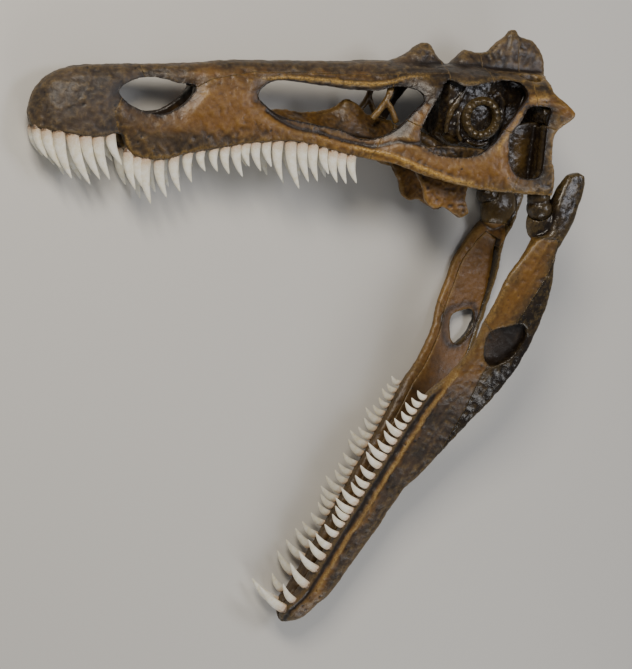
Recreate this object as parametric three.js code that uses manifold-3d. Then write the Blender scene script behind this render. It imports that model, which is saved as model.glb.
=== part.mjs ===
// Skull and lower jaw of a long-snouted theropod dinosaur, life size, in millimetres, lying on its right side.
// The bones are made in the skull's own frame: x runs back, y runs up the skull and z runs to its left side.
import * as THREE from 'three';
import { mergeVertices } from 'three/addons/utils/BufferGeometryUtils.js';
import Module from 'manifold-3d';

const wasm = await Module();
wasm.setup();

// Driving sizes
const GAP = 0.36;
const SUTURE = 0.5;
const FAR = 260;
const ARCH_STEPS = 6;

// Rest: how the skull leans on the floor, how high its frame's origin lies over it, and the middle of the whole
const REST = { pitch: THREE.MathUtils.degToRad(-6.37), roll: THREE.MathUtils.degToRad(2.66), height: 84 };
const MIDDLE = { x: -41.63, y: 11.78 };

// The jaw's own frame starts at its tip: t runs to the joint, h out of the tooth row and z to the left
const JAW_TIP = new THREE.Vector2(-45, -585);
const JAW_ANGLE = THREE.MathUtils.degToRad(62.02);

// A smooth line through a few [place, size] pairs that never overshoots them
function line(...keys) {
  const last = keys.length - 1;
  const rise = (i) => (keys[i + 1][1] - keys[i][1]) / (keys[i + 1][0] - keys[i][0]);
  const slope = (i) => {
    if (i === 0) return rise(0);
    if (i === last) return rise(last - 1);
    const before = rise(i - 1);
    const after = rise(i);
    return before * after <= 0 ? 0 : (2 * before * after) / (before + after);
  };
  return (place) => {
    if (place <= keys[0][0]) return keys[0][1];
    if (place >= keys[last][0]) return keys[last][1];
    let i = 0;
    while (place > keys[i + 1][0]) i += 1;
    const span = keys[i + 1][0] - keys[i][0];
    const s = (place - keys[i][0]) / span;
    const bend = (1 - s) * slope(i) * (1 - s) * s * span - s * slope(i + 1) * (1 - s) * s * span;
    return keys[i][1] + (keys[i + 1][1] - keys[i][1]) * s * s * (3 - 2 * s) + bend;
  };
}

// The skull's outline and widths along its length
const roofHeight = line([-600, 421], [-596, 437], [-588, 456], [-572, 476], [-545, 494], [-510, 505], [-470, 509],
  [-390, 513], [-316, 519], [-228, 530], [-118, 536], [0, 542], [100, 549], [200, 550], [480, 545]);
const marginHeight = line([-600, 414], [-596, 398], [-590, 388], [-560, 385], [-480, 378], [-442, 385], [-430, 386],
  [-420, 360], [-406, 346], [-377, 341], [-347, 341], [-320, 350], [-282, 359], [-224, 370], [-166, 381],
  [-107, 386], [-67, 384], [-26, 374], [38, 362], [97, 356], [168, 335], [238, 321], [310, 314], [480, 308]);
const marginWidth = line([-600, 5], [-594, 16], [-580, 30], [-550, 42], [-500, 47], [-440, 44], [-380, 47],
  [-200, 50], [-100, 54], [0, 63], [100, 86], [200, 118], [300, 134], [400, 144], [480, 146]);
const shoulderWidth = line([-600, 5], [-590, 14], [-560, 27], [-500, 36], [-400, 36], [-200, 34], [0, 42],
  [100, 54], [200, 74], [300, 92], [400, 100], [480, 100]);
const shoulderShare = line([-600, 0.6], [-400, 0.62], [100, 0.66], [250, 0.78], [480, 0.8]);
const wall = line([-600, 60], [-455, 60], [-432, 17], [-300, 17], [-278, 60], [-200, 60], [-176, 18], [60, 17],
  [200, 15], [480, 15]);
const STATIONS = [-600, -596, -588, -574, -552, -515, -475, -446, -436, -430, -424, -416, -404, -386, -360, -325,
  -295, -276, -240, -200, -182, -145, -100, -55, -10, 35, 80, 125, 170, 215, 250, 290, 345, 400,
  445, 480];

// One side of the skull's section from its lower margin to the midline, in (z, y), moved in by inset
function arch(u, inset) {
  const height = roofHeight(u) - marginHeight(u);
  const side = Math.min(inset, marginWidth(u) * 0.86);
  const down = Math.min(inset, height * 0.86);
  const low = new THREE.Vector2(marginWidth(u) - side, marginHeight(u));
  const cheek = new THREE.Vector2(low.x, marginHeight(u) + (height - down) * shoulderShare(u));
  const shoulder = new THREE.Vector2(shoulderWidth(u) * (low.x / marginWidth(u)), roofHeight(u) - down);
  const top = new THREE.Vector2(0, roofHeight(u) - down);
  return new THREE.CubicBezierCurve(low, cheek, shoulder, top).getPoints(ARCH_STEPS);
}

// How far the skin of the skull stands from the midline at a place in its side view
function skinWidth(u, v) {
  const points = arch(u, 0);
  for (let i = 0; i < points.length - 1; i += 1) {
    const [a, b] = [points[i], points[i + 1]];
    if (v >= a.y && v <= b.y) return a.x + ((b.x - a.x) * (v - a.y)) / (b.y - a.y);
  }
  return v < points[0].y ? points[0].x : 0;
}

// Solids
function toSolid(geometry) {
  geometry.deleteAttribute('normal');
  geometry.deleteAttribute('uv');
  const merged = mergeVertices(geometry, 1e-4);
  const triVerts = new Uint32Array(merged.index.array);
  const vertProperties = new Float32Array(merged.attributes.position.array);
  const solid = new wasm.Manifold(new wasm.Mesh({ numProp: 3, vertProperties, triVerts }));
  if (solid.volume() > 0) return solid;
  for (let i = 0; i < triVerts.length; i += 3) [triVerts[i], triVerts[i + 1]] = [triVerts[i + 1], triVerts[i]];
  return new wasm.Manifold(new wasm.Mesh({ numProp: 3, vertProperties, triVerts }));
}

// A closed skin over rings of equal count; flat(point) gives the 2D place of a point of an end ring
function loft(rings, flat) {
  const count = rings[0].length;
  const index = [];
  for (let r = 0; r < rings.length - 1; r += 1) {
    for (let i = 0; i < count; i += 1) {
      const next = (i + 1) % count;
      const [a, b] = [r * count + i, r * count + next];
      index.push(a, b, a + count, b, b + count, a + count);
    }
  }
  [0, rings.length - 1].forEach((r) => {
    const contour = rings[r].map(flat);
    const turn = THREE.ShapeUtils.area(contour) > 0;
    THREE.ShapeUtils.triangulateShape(contour, []).forEach(([a, b, c]) => {
      const same = THREE.ShapeUtils.area([contour[a], contour[b], contour[c]]) > 0 === turn;
      const [p, q] = same ? [b, c] : [c, b];
      if (r === 0) index.push(r * count + a, r * count + q, r * count + p);
      else index.push(r * count + a, r * count + p, r * count + q);
    });
  });
  const geometry = new THREE.BufferGeometry();
  const places = rings.flat().flatMap((p) => [p.x, p.y, p.z]);
  geometry.setAttribute('position', new THREE.Float32BufferAttribute(places, 3));
  geometry.setIndex(index);
  return toSolid(geometry);
}

const acrossX = (p) => new THREE.Vector2(p.z, p.y);

function prism(outline, from, to) {
  const geometry = new THREE.ExtrudeGeometry(new THREE.Shape(outline), { depth: to - from, bevelEnabled: false });
  geometry.translate(0, 0, from);
  return toSolid(geometry);
}

const points2 = (pairs) => pairs.map(([x, y]) => new THREE.Vector2(x, y));

// A smooth closed outline through a few places, as a hole's rim
function rim(pairs, steps) {
  const round = new THREE.CatmullRomCurve3(pairs.map(([x, y]) => new THREE.Vector3(x, y, 0)), true);
  return round.getPoints(steps).slice(0, -1).map((p) => new THREE.Vector2(p.x, p.y));
}

// A thin cut along a line of places in the side view
function cutAlong(pairs, from, to) {
  const path = points2(pairs);
  const sideways = path.map((_, i) => {
    const way = path[Math.min(i + 1, path.length - 1)].clone().sub(path[Math.max(i - 1, 0)]).normalize();
    return new THREE.Vector2(-way.y, way.x).multiplyScalar(SUTURE / 2);
  });
  const left = path.map((p, i) => p.clone().add(sideways[i]));
  const right = path.map((p, i) => p.clone().sub(sideways[i])).reverse();
  return prism([...left, ...right], from, to);
}

function box(low, high) {
  const size = high.clone().sub(low);
  const geometry = new THREE.BoxGeometry(size.x, size.y, size.z);
  const middle = low.clone().add(high).multiplyScalar(0.5);
  geometry.translate(middle.x, middle.y, middle.z);
  return toSolid(geometry);
}

const vec = (x, y, z) => new THREE.Vector3(x, y, z);

// A rod of changing thickness along a path, with flat ends
function rod(path, radii, sides, flatten = 1) {
  const rings = path.map((p, i) => {
    const way = path[Math.min(i + 1, path.length - 1)].clone().sub(path[Math.max(i - 1, 0)]).normalize();
    const across = new THREE.Vector3().crossVectors(way, Math.abs(way.z) > 0.8 ? vec(0, 1, 0) : vec(0, 0, 1));
    across.normalize();
    const out = new THREE.Vector3().crossVectors(across, way);
    return Array.from({ length: sides }, (_, k) => {
      const angle = (k * 2 * Math.PI) / sides;
      return p.clone().addScaledVector(across, radii[i] * Math.cos(angle))
        .addScaledVector(out, radii[i] * flatten * Math.sin(angle));
    });
  });
  const way = path[path.length - 1].clone().sub(path[0]).normalize();
  const across = new THREE.Vector3().crossVectors(way, Math.abs(way.z) > 0.8 ? vec(0, 1, 0) : vec(0, 0, 1));
  across.normalize();
  const out = new THREE.Vector3().crossVectors(across, way);
  return loft(rings, (p) => new THREE.Vector2(p.dot(across), p.dot(out)));
}

function ellipsoid(middle, radii, round, tall) {
  const geometry = new THREE.SphereGeometry(1, round, tall);
  geometry.scale(...radii);
  geometry.translate(middle.x, middle.y, middle.z);
  return toSolid(geometry);
}

const join = (solids) => solids.reduce((sum, solid) => sum.add(solid));
const cut = (solid, cutters) => cutters.reduce((rest, cutter) => rest.subtract(cutter), solid);
const mirror = (solid) => solid.mirror([0, 0, 1]);

function largest(solid) {
  return solid.decompose().reduce((best, piece) => (piece.volume() > best.volume() ? piece : best));
}

const TOOTH_FLATNESS = 0.66;

// A curved, pointed tooth: its root is sunk in the bone, and it leans back towards its tip
function tooth(root, length, width, lean, out, along, sides) {
  const tip = out.clone().multiplyScalar(Math.cos(lean)).addScaledVector(along, Math.sin(lean));
  const place = (share, bow) => root.clone().addScaledVector(tip, length * share).addScaledVector(along, -bow);
  const path = [place(-0.16, 0), place(0.5, width * 0.24), place(1, 0)];
  return rod(path, [width * 0.52, width * 0.4, 0.5], sides, TOOTH_FLATNESS);
}

// Cranium shell: an arch of bone open to the palate
function shellRing(u) {
  const outer = arch(u, 0);
  const inner = arch(u, wall(u));
  const over = (points) => [
    ...points.map((p) => vec(u, p.y, p.x)),
    ...points.slice(0, -1).reverse().map((p) => vec(u, p.y, -p.x)),
  ];
  return [...over(outer), ...over(inner).reverse()];
}

const shell = loft(STATIONS.map(shellRing), acrossX);

// The space inside the shell, less a small gap, going on below it
function insideRing(u) {
  const inner = arch(u, wall(u) + 2.4 * GAP);
  const side = [new THREE.Vector2(inner[0].x, marginHeight(u) - 130), ...inner];
  return [
    ...side.map((p) => vec(u, p.y, p.x)),
    ...side.slice(0, -1).reverse().map((p) => vec(u, p.y, -p.x)),
  ];
}

const inside = loft(STATIONS.filter((u) => u > -180).map(insideRing), acrossX);

// Median crests: a knob on the nose bones, then a notched ridge up to the tall back crest
const knobHeight = line([100, 545], [125, 556], [150, 569], [165, 581], [177, 589], [190, 587], [204, 571],
  [220, 555], [234, 545]);
const crestHeight = line([236, 546], [252, 561], [272, 580], [300, 576], [320, 581], [340, 599], [357, 612],
  [366, 627], [376, 628], [392, 616], [416, 610], [437, 592], [446, 574], [452, 545]);

function crest(height, from, to, steps, foot) {
  const rings = Array.from({ length: steps + 1 }, (_, i) => {
    const u = from + ((to - from) * i) / steps;
    const base = roofHeight(u) - 9;
    const rise = Math.max(height(u) - base, 3);
    const half = [[0, rise], [foot * 0.34, rise * 0.93], [foot * 0.66, rise * 0.5], [foot, 0]];
    return [
      ...half.map(([z, y]) => vec(u, base + y, z)),
      ...half.slice(1).reverse().map(([z, y]) => vec(u, base + y, -z)),
    ];
  });
  return loft(rings, acrossX);
}

// Raised ridges on the skin, on both sides
function ridge(pairs, radius) {
  const path = pairs.map(([u, v]) => vec(u, v, skinWidth(u, v) - radius * 0.35));
  const radii = path.map((_, i) => (i === 0 || i === path.length - 1 ? radius * 0.35 : radius));
  const one = rod(path, radii, 6);
  return [one, mirror(one)];
}

const FENESTRA_RIDGE = [[-160, 500], [-90, 505], [-29, 503], [40, 501], [88, 507], [131, 520], [172, 526]];
const JUGAL_RIDGE = [[20, 383], [60, 377], [91, 372], [130, 359], [167, 346], [207, 334], [250, 328]];

// Openings in the side view
const NARIS = rim([[-438, 461], [-414, 482], [-370, 491], [-325, 484], [-291, 479], [-305, 454], [-338, 430],
  [-370, 425], [-410, 436]], 18);
const ANTORBITAL = rim([[-169, 472], [-149, 493], [-110, 500], [-40, 494], [50, 490], [105, 502], [145, 497],
  [158, 480], [135, 455], [109, 426], [79, 407], [42, 398], [0, 412], [-60, 421], [-118, 431], [-157, 454]], 26);
const ORBIT = rim([[208, 521], [186, 492], [167, 463], [150, 425], [150, 400], [168, 385], [193, 377], [233, 376],
  [266, 385], [296, 409], [318, 440], [347, 474], [370, 500], [364, 522], [330, 527], [290, 520], [243, 511]], 25);
const TEMPORAL = rim([[369, 480], [396, 483], [418, 479], [407, 450], [402, 415], [399, 375], [394, 348],
  [370, 341], [347, 345], [330, 366], [325, 392], [328, 424], [343, 442], [356, 462]], 17);
const BACK_EDGE = [[449, 660], [449, 556], [427, 534], [427, 513], [452, 489], [469, 472], [458, 458], [433, 444],
  [420, 430], [416, 404], [417, 381], [424, 345], [424, 320], [416, 290], [520, 290], [520, 660]];

function upperTemporal(side) {
  const oval = rim([[370, 58], [382, 48.5], [404, 48.5], [416, 60], [404, 76], [382, 76]], 12);
  const geometry = new THREE.ExtrudeGeometry(new THREE.Shape(oval), { depth: 120, bevelEnabled: false });
  geometry.rotateX(Math.PI / 2);
  geometry.translate(0, 600, 0);
  const hole = toSolid(geometry);
  return side > 0 ? hole : mirror(hole);
}

// Sutures in the side view, each from edge to edge of the bone that it parts
const SUTURES = [
  [[-421, 320], [-428, 372], [-441, 400], [-446, 425], [-432, 452], [-425, 462]],
  [[-380, 480], [-392, 500], [-402, 540]],
  [[-302, 470], [-262, 494], [-180, 512], [-60, 517], [50, 520], [110, 526], [150, 530], [214.5, 534]],
  [[84, 420], [72, 392], [56, 366], [54, 310]],
  [[96, 480], [100, 510], [112, 527]],
  [[112, 450], [134, 437], [162, 420]],
  [[214.5, 480], [214.5, 620]],
  [[296, 440], [320, 432], [346, 424]],
  [[392, 470], [386, 500], [384, 535]],
  [[360, 358], [342, 334], [328, 290]],
  [[394, 446], [442, 436]],
  [[303, 480], [303, 640]],
];

// The suture of nose bone to frontal crosses the roof, and a midline cut parts left from right in front of it
const midline = box(vec(-620, 300, -SUTURE / 2), vec(303, 700, SUTURE / 2));
const roofCuts = [47, -47].map((z) => box(vec(303, 480, z - SUTURE / 2), vec(500, 640, z + SUTURE / 2)));

// Upper teeth, from front to back: place of the root, length
const FRONT_TEETH = [[-583, 58], [-568, 76], [-546, 90], [-522, 100], [-498, 86], [-474, 84], [-451, 62]];
const SIDE_TEETH = [[-414, 72], [-398, 62], [-382, 86], [-356, 74], [-328, 68], [-301, 56], [-277, 40], [-251, 44],
  [-229, 52], [-208, 62], [-188, 44], [-169, 56], [-148, 50], [-125, 77], [-100, 94], [-76, 78], [-54, 72],
  [-34, 52], [-14, 62], [4, 60], [22, 55]];

function upperTooth([u, length], index, lean) {
  const width = 14 + length * 0.1;
  const inset = Math.min(width * 0.4, marginWidth(u) * 0.4);
  const root = vec(u, marginHeight(u) + 2, marginWidth(u) - inset);
  const wobble = 0.05 * Math.sin(index * 2.3);
  return tooth(root, length + 2, width, lean + wobble, vec(0, -1, 0), vec(1, 0, 0), 5);
}

const leftTeeth = [
  ...FRONT_TEETH.map((t, i) => upperTooth(t, i, 0.36)),
  ...SIDE_TEETH.map((t, i) => upperTooth(t, i, 0.22)),
];
const upperTeeth = join([...leftTeeth, ...leftTeeth.map(mirror)]);

const sideHoles = [NARIS, ANTORBITAL, ORBIT, TEMPORAL].map((outline) => prism(outline, -FAR, FAR));
const ridges = [...ridge(FENESTRA_RIDGE, 6), ...ridge(JUGAL_RIDGE, 6.5)];
const cranium = cut(
  join([shell, crest(knobHeight, 102, 232, 10, 26), crest(crestHeight, 238, 451, 14, 24), ...ridges]),
  [...sideHoles, prism(points2(BACK_EDGE), -FAR, FAR), upperTemporal(1), upperTemporal(-1)],
).add(upperTeeth);
const parted = cut(cranium, [...SUTURES.map((s) => cutAlong(s, -FAR, FAR)), midline, ...roofCuts]).decompose();

// A bone is the parted piece that holds a given place
function pieceAt(pieces, place) {
  const probe = ellipsoid(place, [2, 2, 2], 6, 4);
  return pieces.find((piece) => !piece.intersect(probe).isEmpty());
}

// The bones of the shell, each with a place inside its left one
const SHELL_BONES = {
  premaxilla: [-520, 450], maxilla: [-230, 430], nasal: [-200, 521], lacrimal: [167, 480], jugal: [230, 350],
  frontal: [260, 528], postorbital: [335, 448], squamosal: [440, 474], quadratojugal: [400, 326],
};

const shellBones = {};
Object.entries(SHELL_BONES).forEach(([name, [u, v]]) => {
  const z = Math.max(skinWidth(u, v) - 5, 6);
  shellBones[`${name}_left`] = pieceAt(parted, vec(u, v, z));
  shellBones[`${name}_right`] = pieceAt(parted, vec(u, v, -z));
});
shellBones.parietal = pieceAt(parted, vec(380, 560, 0));

// Braincase: the dark wall behind the eye opening and the back of the skull
const coreWidth = line([212, 34], [225, 52], [290, 60], [330, 50], [345, 44], [400, 42], [440, 46]);
const coreFloor = line([212, 410], [240, 392], [330, 384], [440, 388]);

function coreRing(u) {
  const z = coreWidth(u);
  const y = coreFloor(u);
  const side = [vec(u, y, z * 0.55), vec(u, y + 22, z * 0.94), vec(u, 452, z), vec(u, 520, z * 0.95),
    vec(u, 560, z * 0.7)];
  return [...side, ...side.map((p) => vec(p.x, p.y, -p.z)).reverse()];
}

const coreStations = [212, 226, 255, 290, 325, 345, 385, 422];

// The wing that runs out from the back of the braincase to the squamosal, grown by a margin
function occiputWing(margin) {
  const path = [vec(404, 474, 20), vec(408, 472, 70), vec(420, 466, 104)];
  return rod(path, [20, 15, 13].map((r) => r + margin), 8, 1.7);
}

const braincaseBody = join([
  loft(coreStations.map(coreRing), acrossX),
  ellipsoid(vec(424, 432, 0), [24, 17, 19], 8, 6),
  occiputWing(0),
  mirror(occiputWing(0)),
]);
const braincase = largest(braincaseBody.intersect(inside));

// Sclerotic rings: flat bony rings of small plates set on the wall inside each eye opening
const RING = { u: 293, v: 450, inner: 25, outer: 43, plates: 16, low: 54, high: 72 };

function scleroticRing() {
  const { u, v, inner, outer, plates, low, high } = RING;
  const crown = (inner + outer) / 2;
  const profile = points2([[inner, low], [outer, low], [crown + 5, high - 3], [inner + 3, high - 3],
    [inner, low]]);
  const lathe = new THREE.LatheGeometry(profile, plates * 2);
  lathe.rotateX(Math.PI / 2);
  const places = lathe.attributes.position;
  for (let i = 0; i < places.count; i += 1) {
    const angle = Math.atan2(places.getY(i), places.getX(i));
    const raised = places.getZ(i) > low + 1 ? 1.8 * Math.cos(plates * angle) : 0;
    places.setZ(i, places.getZ(i) + raised);
  }
  lathe.translate(u, v, 0);
  return toSolid(lathe);
}

// Palate: the palatines rise to the midline, and the pterygoids run back to the quadrates with a flange below
const palateTop = line([-168, 428], [-110, 445], [-65, 441], [-24, 446], [7, 458], [24, 472], [46, 465], [72, 444],
  [127, 433]);

function palatine() {
  const stations = [-168, -140, -110, -80, -50, -20, 7, 24, 46, 72, 100, 127];
  const rings = stations.map((u) => {
    const low = marginHeight(u) + 14;
    return [vec(u, palateTop(u), 0.3), vec(u, palateTop(u) - 6, 9), vec(u, low + 24, 34), vec(u, low + 16, 200),
      vec(u, low, 200), vec(u, low + 2, 0.3)];
  });
  const strut = join([
    rod([vec(98, 512, 48), vec(94, 482, 46), vec(80, 456, 44), vec(64, 436, 42)], [9, 7, 7, 9], 6),
    rod([vec(92, 472, 46), vec(102, 456, 48), vec(114, 430, 50)], [6, 7, 9], 6),
  ]);
  return largest(join([loft(rings, acrossX), strut]).intersect(inside));
}

const PTERYGOID_FLANGE = [[138, 388], [146, 362], [161, 335], [173, 316], [179, 306], [188, 280], [206, 269],
  [221, 272], [237, 265], [250, 258], [264, 252], [276, 255], [283, 262], [278, 273], [274, 287], [274, 305],
  [282, 350], [300, 388]];
const FLANGE = { low: 52, high: 66 };

function pterygoid() {
  const bar = rod([vec(128, 415, 16), vec(180, 402, 30), vec(240, 372, 46), vec(300, 362, 56), vec(356, 368, 58)],
    [15, 14, 13, 13, 13], 8);
  const body = join([bar, prism(points2(PTERYGOID_FLANGE), FLANGE.low, FLANGE.high)]);
  return largest(cut(body, [grownBraincase, box(vec(90, 300, -20), vec(127.4, 480, 120))]).intersect(inside));
}

function ectopterygoid() {
  const body = rod([vec(168, 370, FLANGE.high + GAP), vec(168, 370, 112), vec(176, 366, 150)], [19, 13, 14], 8);
  return largest(body.intersect(inside));
}

// Quadrate: a column from the squamosal down to the jaw joint, with a wing that runs forward inside
const JOINT = vec(413, 280, 112);
const CONDYLE = [26, 24, 28];

function quadrateShaft(margin) {
  const path = [vec(409, 296, 110), vec(411, 322, 110), vec(413, 360, 110), vec(412, 446, 112)];
  return rod(path, [25, 21, 14, 13].map((r) => r + margin), 8);
}

function quadrate() {
  const shaft = quadrateShaft(0);
  const wing = prism(rim([[326, 384], [334, 346], [360, 330], [400, 318], [440, 312], [454, 324], [448, 352],
    [442, 400], [436, 444], [404, 450], [366, 446], [336, 420]], 12), 71.6, 84);
  const web = prism(points2([[396, 334], [432, 338], [434, 440], [400, 444]]), 80, 104);
  return join([shaft, wing, web, ellipsoid(JOINT, CONDYLE, 9, 6)]);
}

const grownBraincase = join([
  loft(coreStations.map((u) => coreRing(u).map((p) => vec(p.x, p.y - 0.6, p.z * 1.012))), acrossX),
  occiputWing(1.5 * GAP),
]);
const pterygoidLeft = pterygoid();
const quadrateLeft = largest(cut(quadrate(), [grownBraincase]).intersect(inside));

// Lower jaw: one branch in the jaw's own frame
const toothLine = line([-9, -20], [4, -5], [24, 0], [60, -8], [130, -11], [300, -12], [545, -15], [601, -27],
  [666, -31], [727, -19], [778, -13], [834, -5], [867, -9], [921, -16], [949, -32], [976, -26], [1000, -14],
  [1031, -10], [1066, -14], [1084, -34]);
const lowerEdge = line([-9, -24], [1, -36], [25, -52], [60, -61], [99, -75], [180, -82], [257, -89], [347, -92],
  [401, -110], [466, -124], [537, -139], [606, -148], [663, -148], [724, -142], [774, -133], [826, -120],
  [866, -105], [902, -86], [929, -75], [989, -76], [1031, -69], [1068, -60], [1084, -48]);
const outerWidth = line([-9, 6], [4, 20], [20, 32], [50, 42], [90, 47], [180, 46], [300, 52], [450, 61], [540, 72],
  [620, 94], [700, 116], [780, 130], [870, 137], [940, 141], [1000, 138], [1050, 130], [1084, 122]);
const innerWidth = line([-9, 0.3], [95, 0.3], [130, 8], [200, 16], [300, 22], [450, 31], [540, 43], [620, 68],
  [700, 92], [780, 106], [870, 112], [940, 96], [1000, 94], [1084, 106]);
// How far the jaw's lower edge turns in under it
const flare = line([640, 0], [760, 10], [880, 24], [940, 24], [985, 8], [1030, 0]);
const JAW_STATIONS = [-9, -4, 6, 24, 50, 90, 125, 180, 260, 340, 400, 460, 530, 590, 645, 700, 750, 800, 850,
  885, 915, 935, 952, 976, 1000, 1030, 1060, 1084];
const JAW_SIDES = 8;

function jawRing(t) {
  const middle = vec(t, (toothLine(t) + lowerEdge(t)) / 2, (outerWidth(t) + innerWidth(t)) / 2);
  const tall = (toothLine(t) - lowerEdge(t)) / 2;
  const wide = (outerWidth(t) - innerWidth(t)) / 2;
  const soft = (x) => Math.sign(x) * Math.abs(x) ** 0.62;
  return Array.from({ length: JAW_SIDES }, (_, k) => {
    const angle = ((k + 0.5) * 2 * Math.PI) / JAW_SIDES;
    const inward = Math.max(-Math.sin(angle), 0) * Math.max(-Math.cos(angle), 0) * 2 * flare(t);
    return vec(t, middle.y + tall * soft(Math.sin(angle)) * 1.02,
      middle.z + wide * soft(Math.cos(angle)) * 1.02 - inward);
  });
}

// The splenial and prearticular: a thin sheet let into the inner face of the branch
function innerSheet(grow) {
  const stations = [150, 200, 260, 320, 380, 440, 500, 560, 620, 680, 740, 800, 860, 910];
  const rings = stations.map((t, i) => {
    const end = i === 0 ? -grow : i === stations.length - 1 ? grow : 0;
    const high = toothLine(t) - 20 + grow;
    const low = lowerEdge(t) + 16 - grow;
    const near = innerWidth(t) - (grow > 0 ? 40 : -0.6);
    const deep = innerWidth(t) + 7 + grow;
    return [vec(t + end, high, near), vec(t + end, low, near), vec(t + end, low, deep), vec(t + end, high, deep)];
  });
  return loft(rings, acrossX);
}

const JAW_FENESTRA = rim([[716, -42], [745, -66], [764, -96], [744, -116], [706, -117], [672, -103], [660, -82],
  [680, -56]], 18);
const INNER_FENESTRA = rim([[716, -62], [740, -80], [752, -102], [728, -120], [696, -118], [674, -104], [676, -82]],
  16);
const JAW_SUTURES = [
  [[736, 10], [731, -18], [722, -38], [706, -62]],
  [[748, -84], [770, -77], [815, -77], [874, -78], [912, -72], [946, -56]],
  [[676, -84], [640, -84], [560, -104], [470, -114], [420, -135]],
  [[900, 40], [912, 6], [928, -24], [944, -58], [934, -100]],
];

// Lower teeth, from front to back: place of the root, length, and the lean of those that splay
const LOWER_TEETH = [[20, 77, 0.26], [45, 44, 0.49], [86, 62, 0.42], [124, 56], [152, 52], [177, 44], [206, 36], [229, 34], [246, 38],
  [263, 46], [283, 48], [304, 36], [324, 36], [346, 38], [371, 44], [391, 50], [410, 36], [429, 35], [448, 44],
  [466, 30], [484, 26], [502, 30], [520, 24], [538, 23]];

function lowerTooth([t, length, splay], index) {
  const width = 11 + length * 0.12;
  const inset = Math.min(width * 0.5, outerWidth(t) * 0.4);
  const root = vec(t, toothLine(t) - 2, outerWidth(t) - inset);
  const lean = splay ?? 0.22 + 0.32 * Math.exp(-t / 110) + 0.06 * Math.sin(index * 1.9);
  return tooth(root, length + 2, width, lean, vec(0, 1, 0), vec(1, 0, 0), 5);
}

// The articular's block that holds the socket for the quadrate
const SOCKET = { middle: vec(966, -30, 102), radii: [46, 40, 25] };

function jawBranch(backed) {
  const branch = loft(JAW_STATIONS.map(jawRing), acrossX);
  const stripePath = [90, 150, 230, 320, 410, 490, 560, 610].map((t) => vec(t, -36, outerWidth(t) - 2));
  const stripe = rod(stripePath, stripePath.map((_, i) => (i % 7 === 0 ? 2 : 6)), 6);
  const socket = ellipsoid(SOCKET.middle, SOCKET.radii, 8, 5);
  const body = join([branch, stripe, socket, ...LOWER_TEETH.map(lowerTooth)]);
  const hole = prism(JAW_FENESTRA, 0, FAR);
  const cuts = JAW_SUTURES.map((s) => cutAlong(s, 0, FAR));
  const pieces = cut(body, [innerSheet(GAP), hole, ...cuts]).decompose();
  const at = (t, h) => pieceAt(pieces, vec(t, h, outerWidth(t) - 5));
  const sheet = backed ? innerSheet(0) : cut(innerSheet(0), [prism(INNER_FENESTRA, 0, FAR)]);
  return { dentary: at(350, -60), surangular: at(840, -45), angular: at(700, -130), articular: at(1010, -45),
    splenial: largest(sheet) };
}

// From the jaw's frame to the skull's
const jawTurn = new THREE.Matrix4().makeRotationZ(JAW_ANGLE).setPosition(JAW_TIP.x, JAW_TIP.y, 0);
const hinge = join([ellipsoid(JOINT, CONDYLE.map((r) => r + 1.5 * GAP), 9, 6), quadrateShaft(1.5 * GAP)]);
const hingeCuts = [hinge, mirror(hinge)];

const bones = { ...shellBones, braincase };
bones.sclerotic_ring_left = largest(scleroticRing().subtract(braincase.translate([0, 0, GAP])));
bones.sclerotic_ring_right = mirror(bones.sclerotic_ring_left);
const palatineLeft = palatine();
const ectopterygoidLeft = ectopterygoid();
Object.entries({ palatine: palatineLeft, pterygoid: pterygoidLeft, ectopterygoid: ectopterygoidLeft,
  quadrate: quadrateLeft }).forEach(([name, solid]) => {
  bones[`${name}_left`] = solid;
  bones[`${name}_right`] = mirror(solid);
});
['left', 'right'].forEach((side) => {
  Object.entries(jawBranch(side === 'left')).forEach(([name, solid]) => {
    const sided = side === 'left' ? solid : mirror(solid);
    const placed = sided.transform(jawTurn.elements);
    bones[`${name}_${side}`] = name === 'articular' ? largest(cut(placed, hingeCuts)) : placed;
  });
});

// Finishes
const finish = (color, roughness) => new THREE.MeshStandardMaterial({ color, roughness, metalness: 0 });
const FINISHES = {
  snout: () => finish('#5f4c38', 0.5),
  cheek: () => finish('#8a6636', 0.45),
  roof: () => finish('#6b5a45', 0.55),
  dark: () => finish('#2b211b', 0.25),
  jaw: () => finish('#76603f', 0.45),
};
const FINISH_OF = {
  premaxilla: 'snout', maxilla: 'cheek', nasal: 'roof', lacrimal: 'cheek', jugal: 'cheek', frontal: 'roof',
  parietal: 'roof', postorbital: 'cheek', squamosal: 'cheek', quadratojugal: 'cheek', braincase: 'dark',
  sclerotic: 'dark', palatine: 'cheek', pterygoid: 'cheek', ectopterygoid: 'cheek', quadrate: 'dark',
  dentary: 'jaw', surangular: 'jaw', angular: 'dark', articular: 'dark', splenial: 'jaw',
};

function toMesh(name, solid) {
  const { vertProperties, triVerts, numProp } = solid.getMesh();
  const geometry = new THREE.BufferGeometry();
  const places = new Float32Array((vertProperties.length / numProp) * 3);
  for (let i = 0; i < places.length; i += 1) places[i] = vertProperties[Math.floor(i / 3) * numProp + (i % 3)];
  geometry.setAttribute('position', new THREE.BufferAttribute(places, 3));
  geometry.setIndex(new THREE.BufferAttribute(new Uint32Array(triVerts), 1));
  geometry.computeVertexNormals();
  const mesh = new THREE.Mesh(geometry, FINISHES[FINISH_OF[name.split('_')[0]]]());
  mesh.name = name;
  return mesh;
}

// The skull lies on its right side, so that its left side is up, on small flats at one level
const tilt = new THREE.Matrix4().makeRotationY(REST.pitch).multiply(new THREE.Matrix4().makeRotationX(REST.roll));
const up = new THREE.Vector3(0, 0, 1).transformDirection(tilt.clone().transpose());
const onFloor = (solid) => largest(solid.trimByPlane(up.toArray(), -REST.height));

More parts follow.
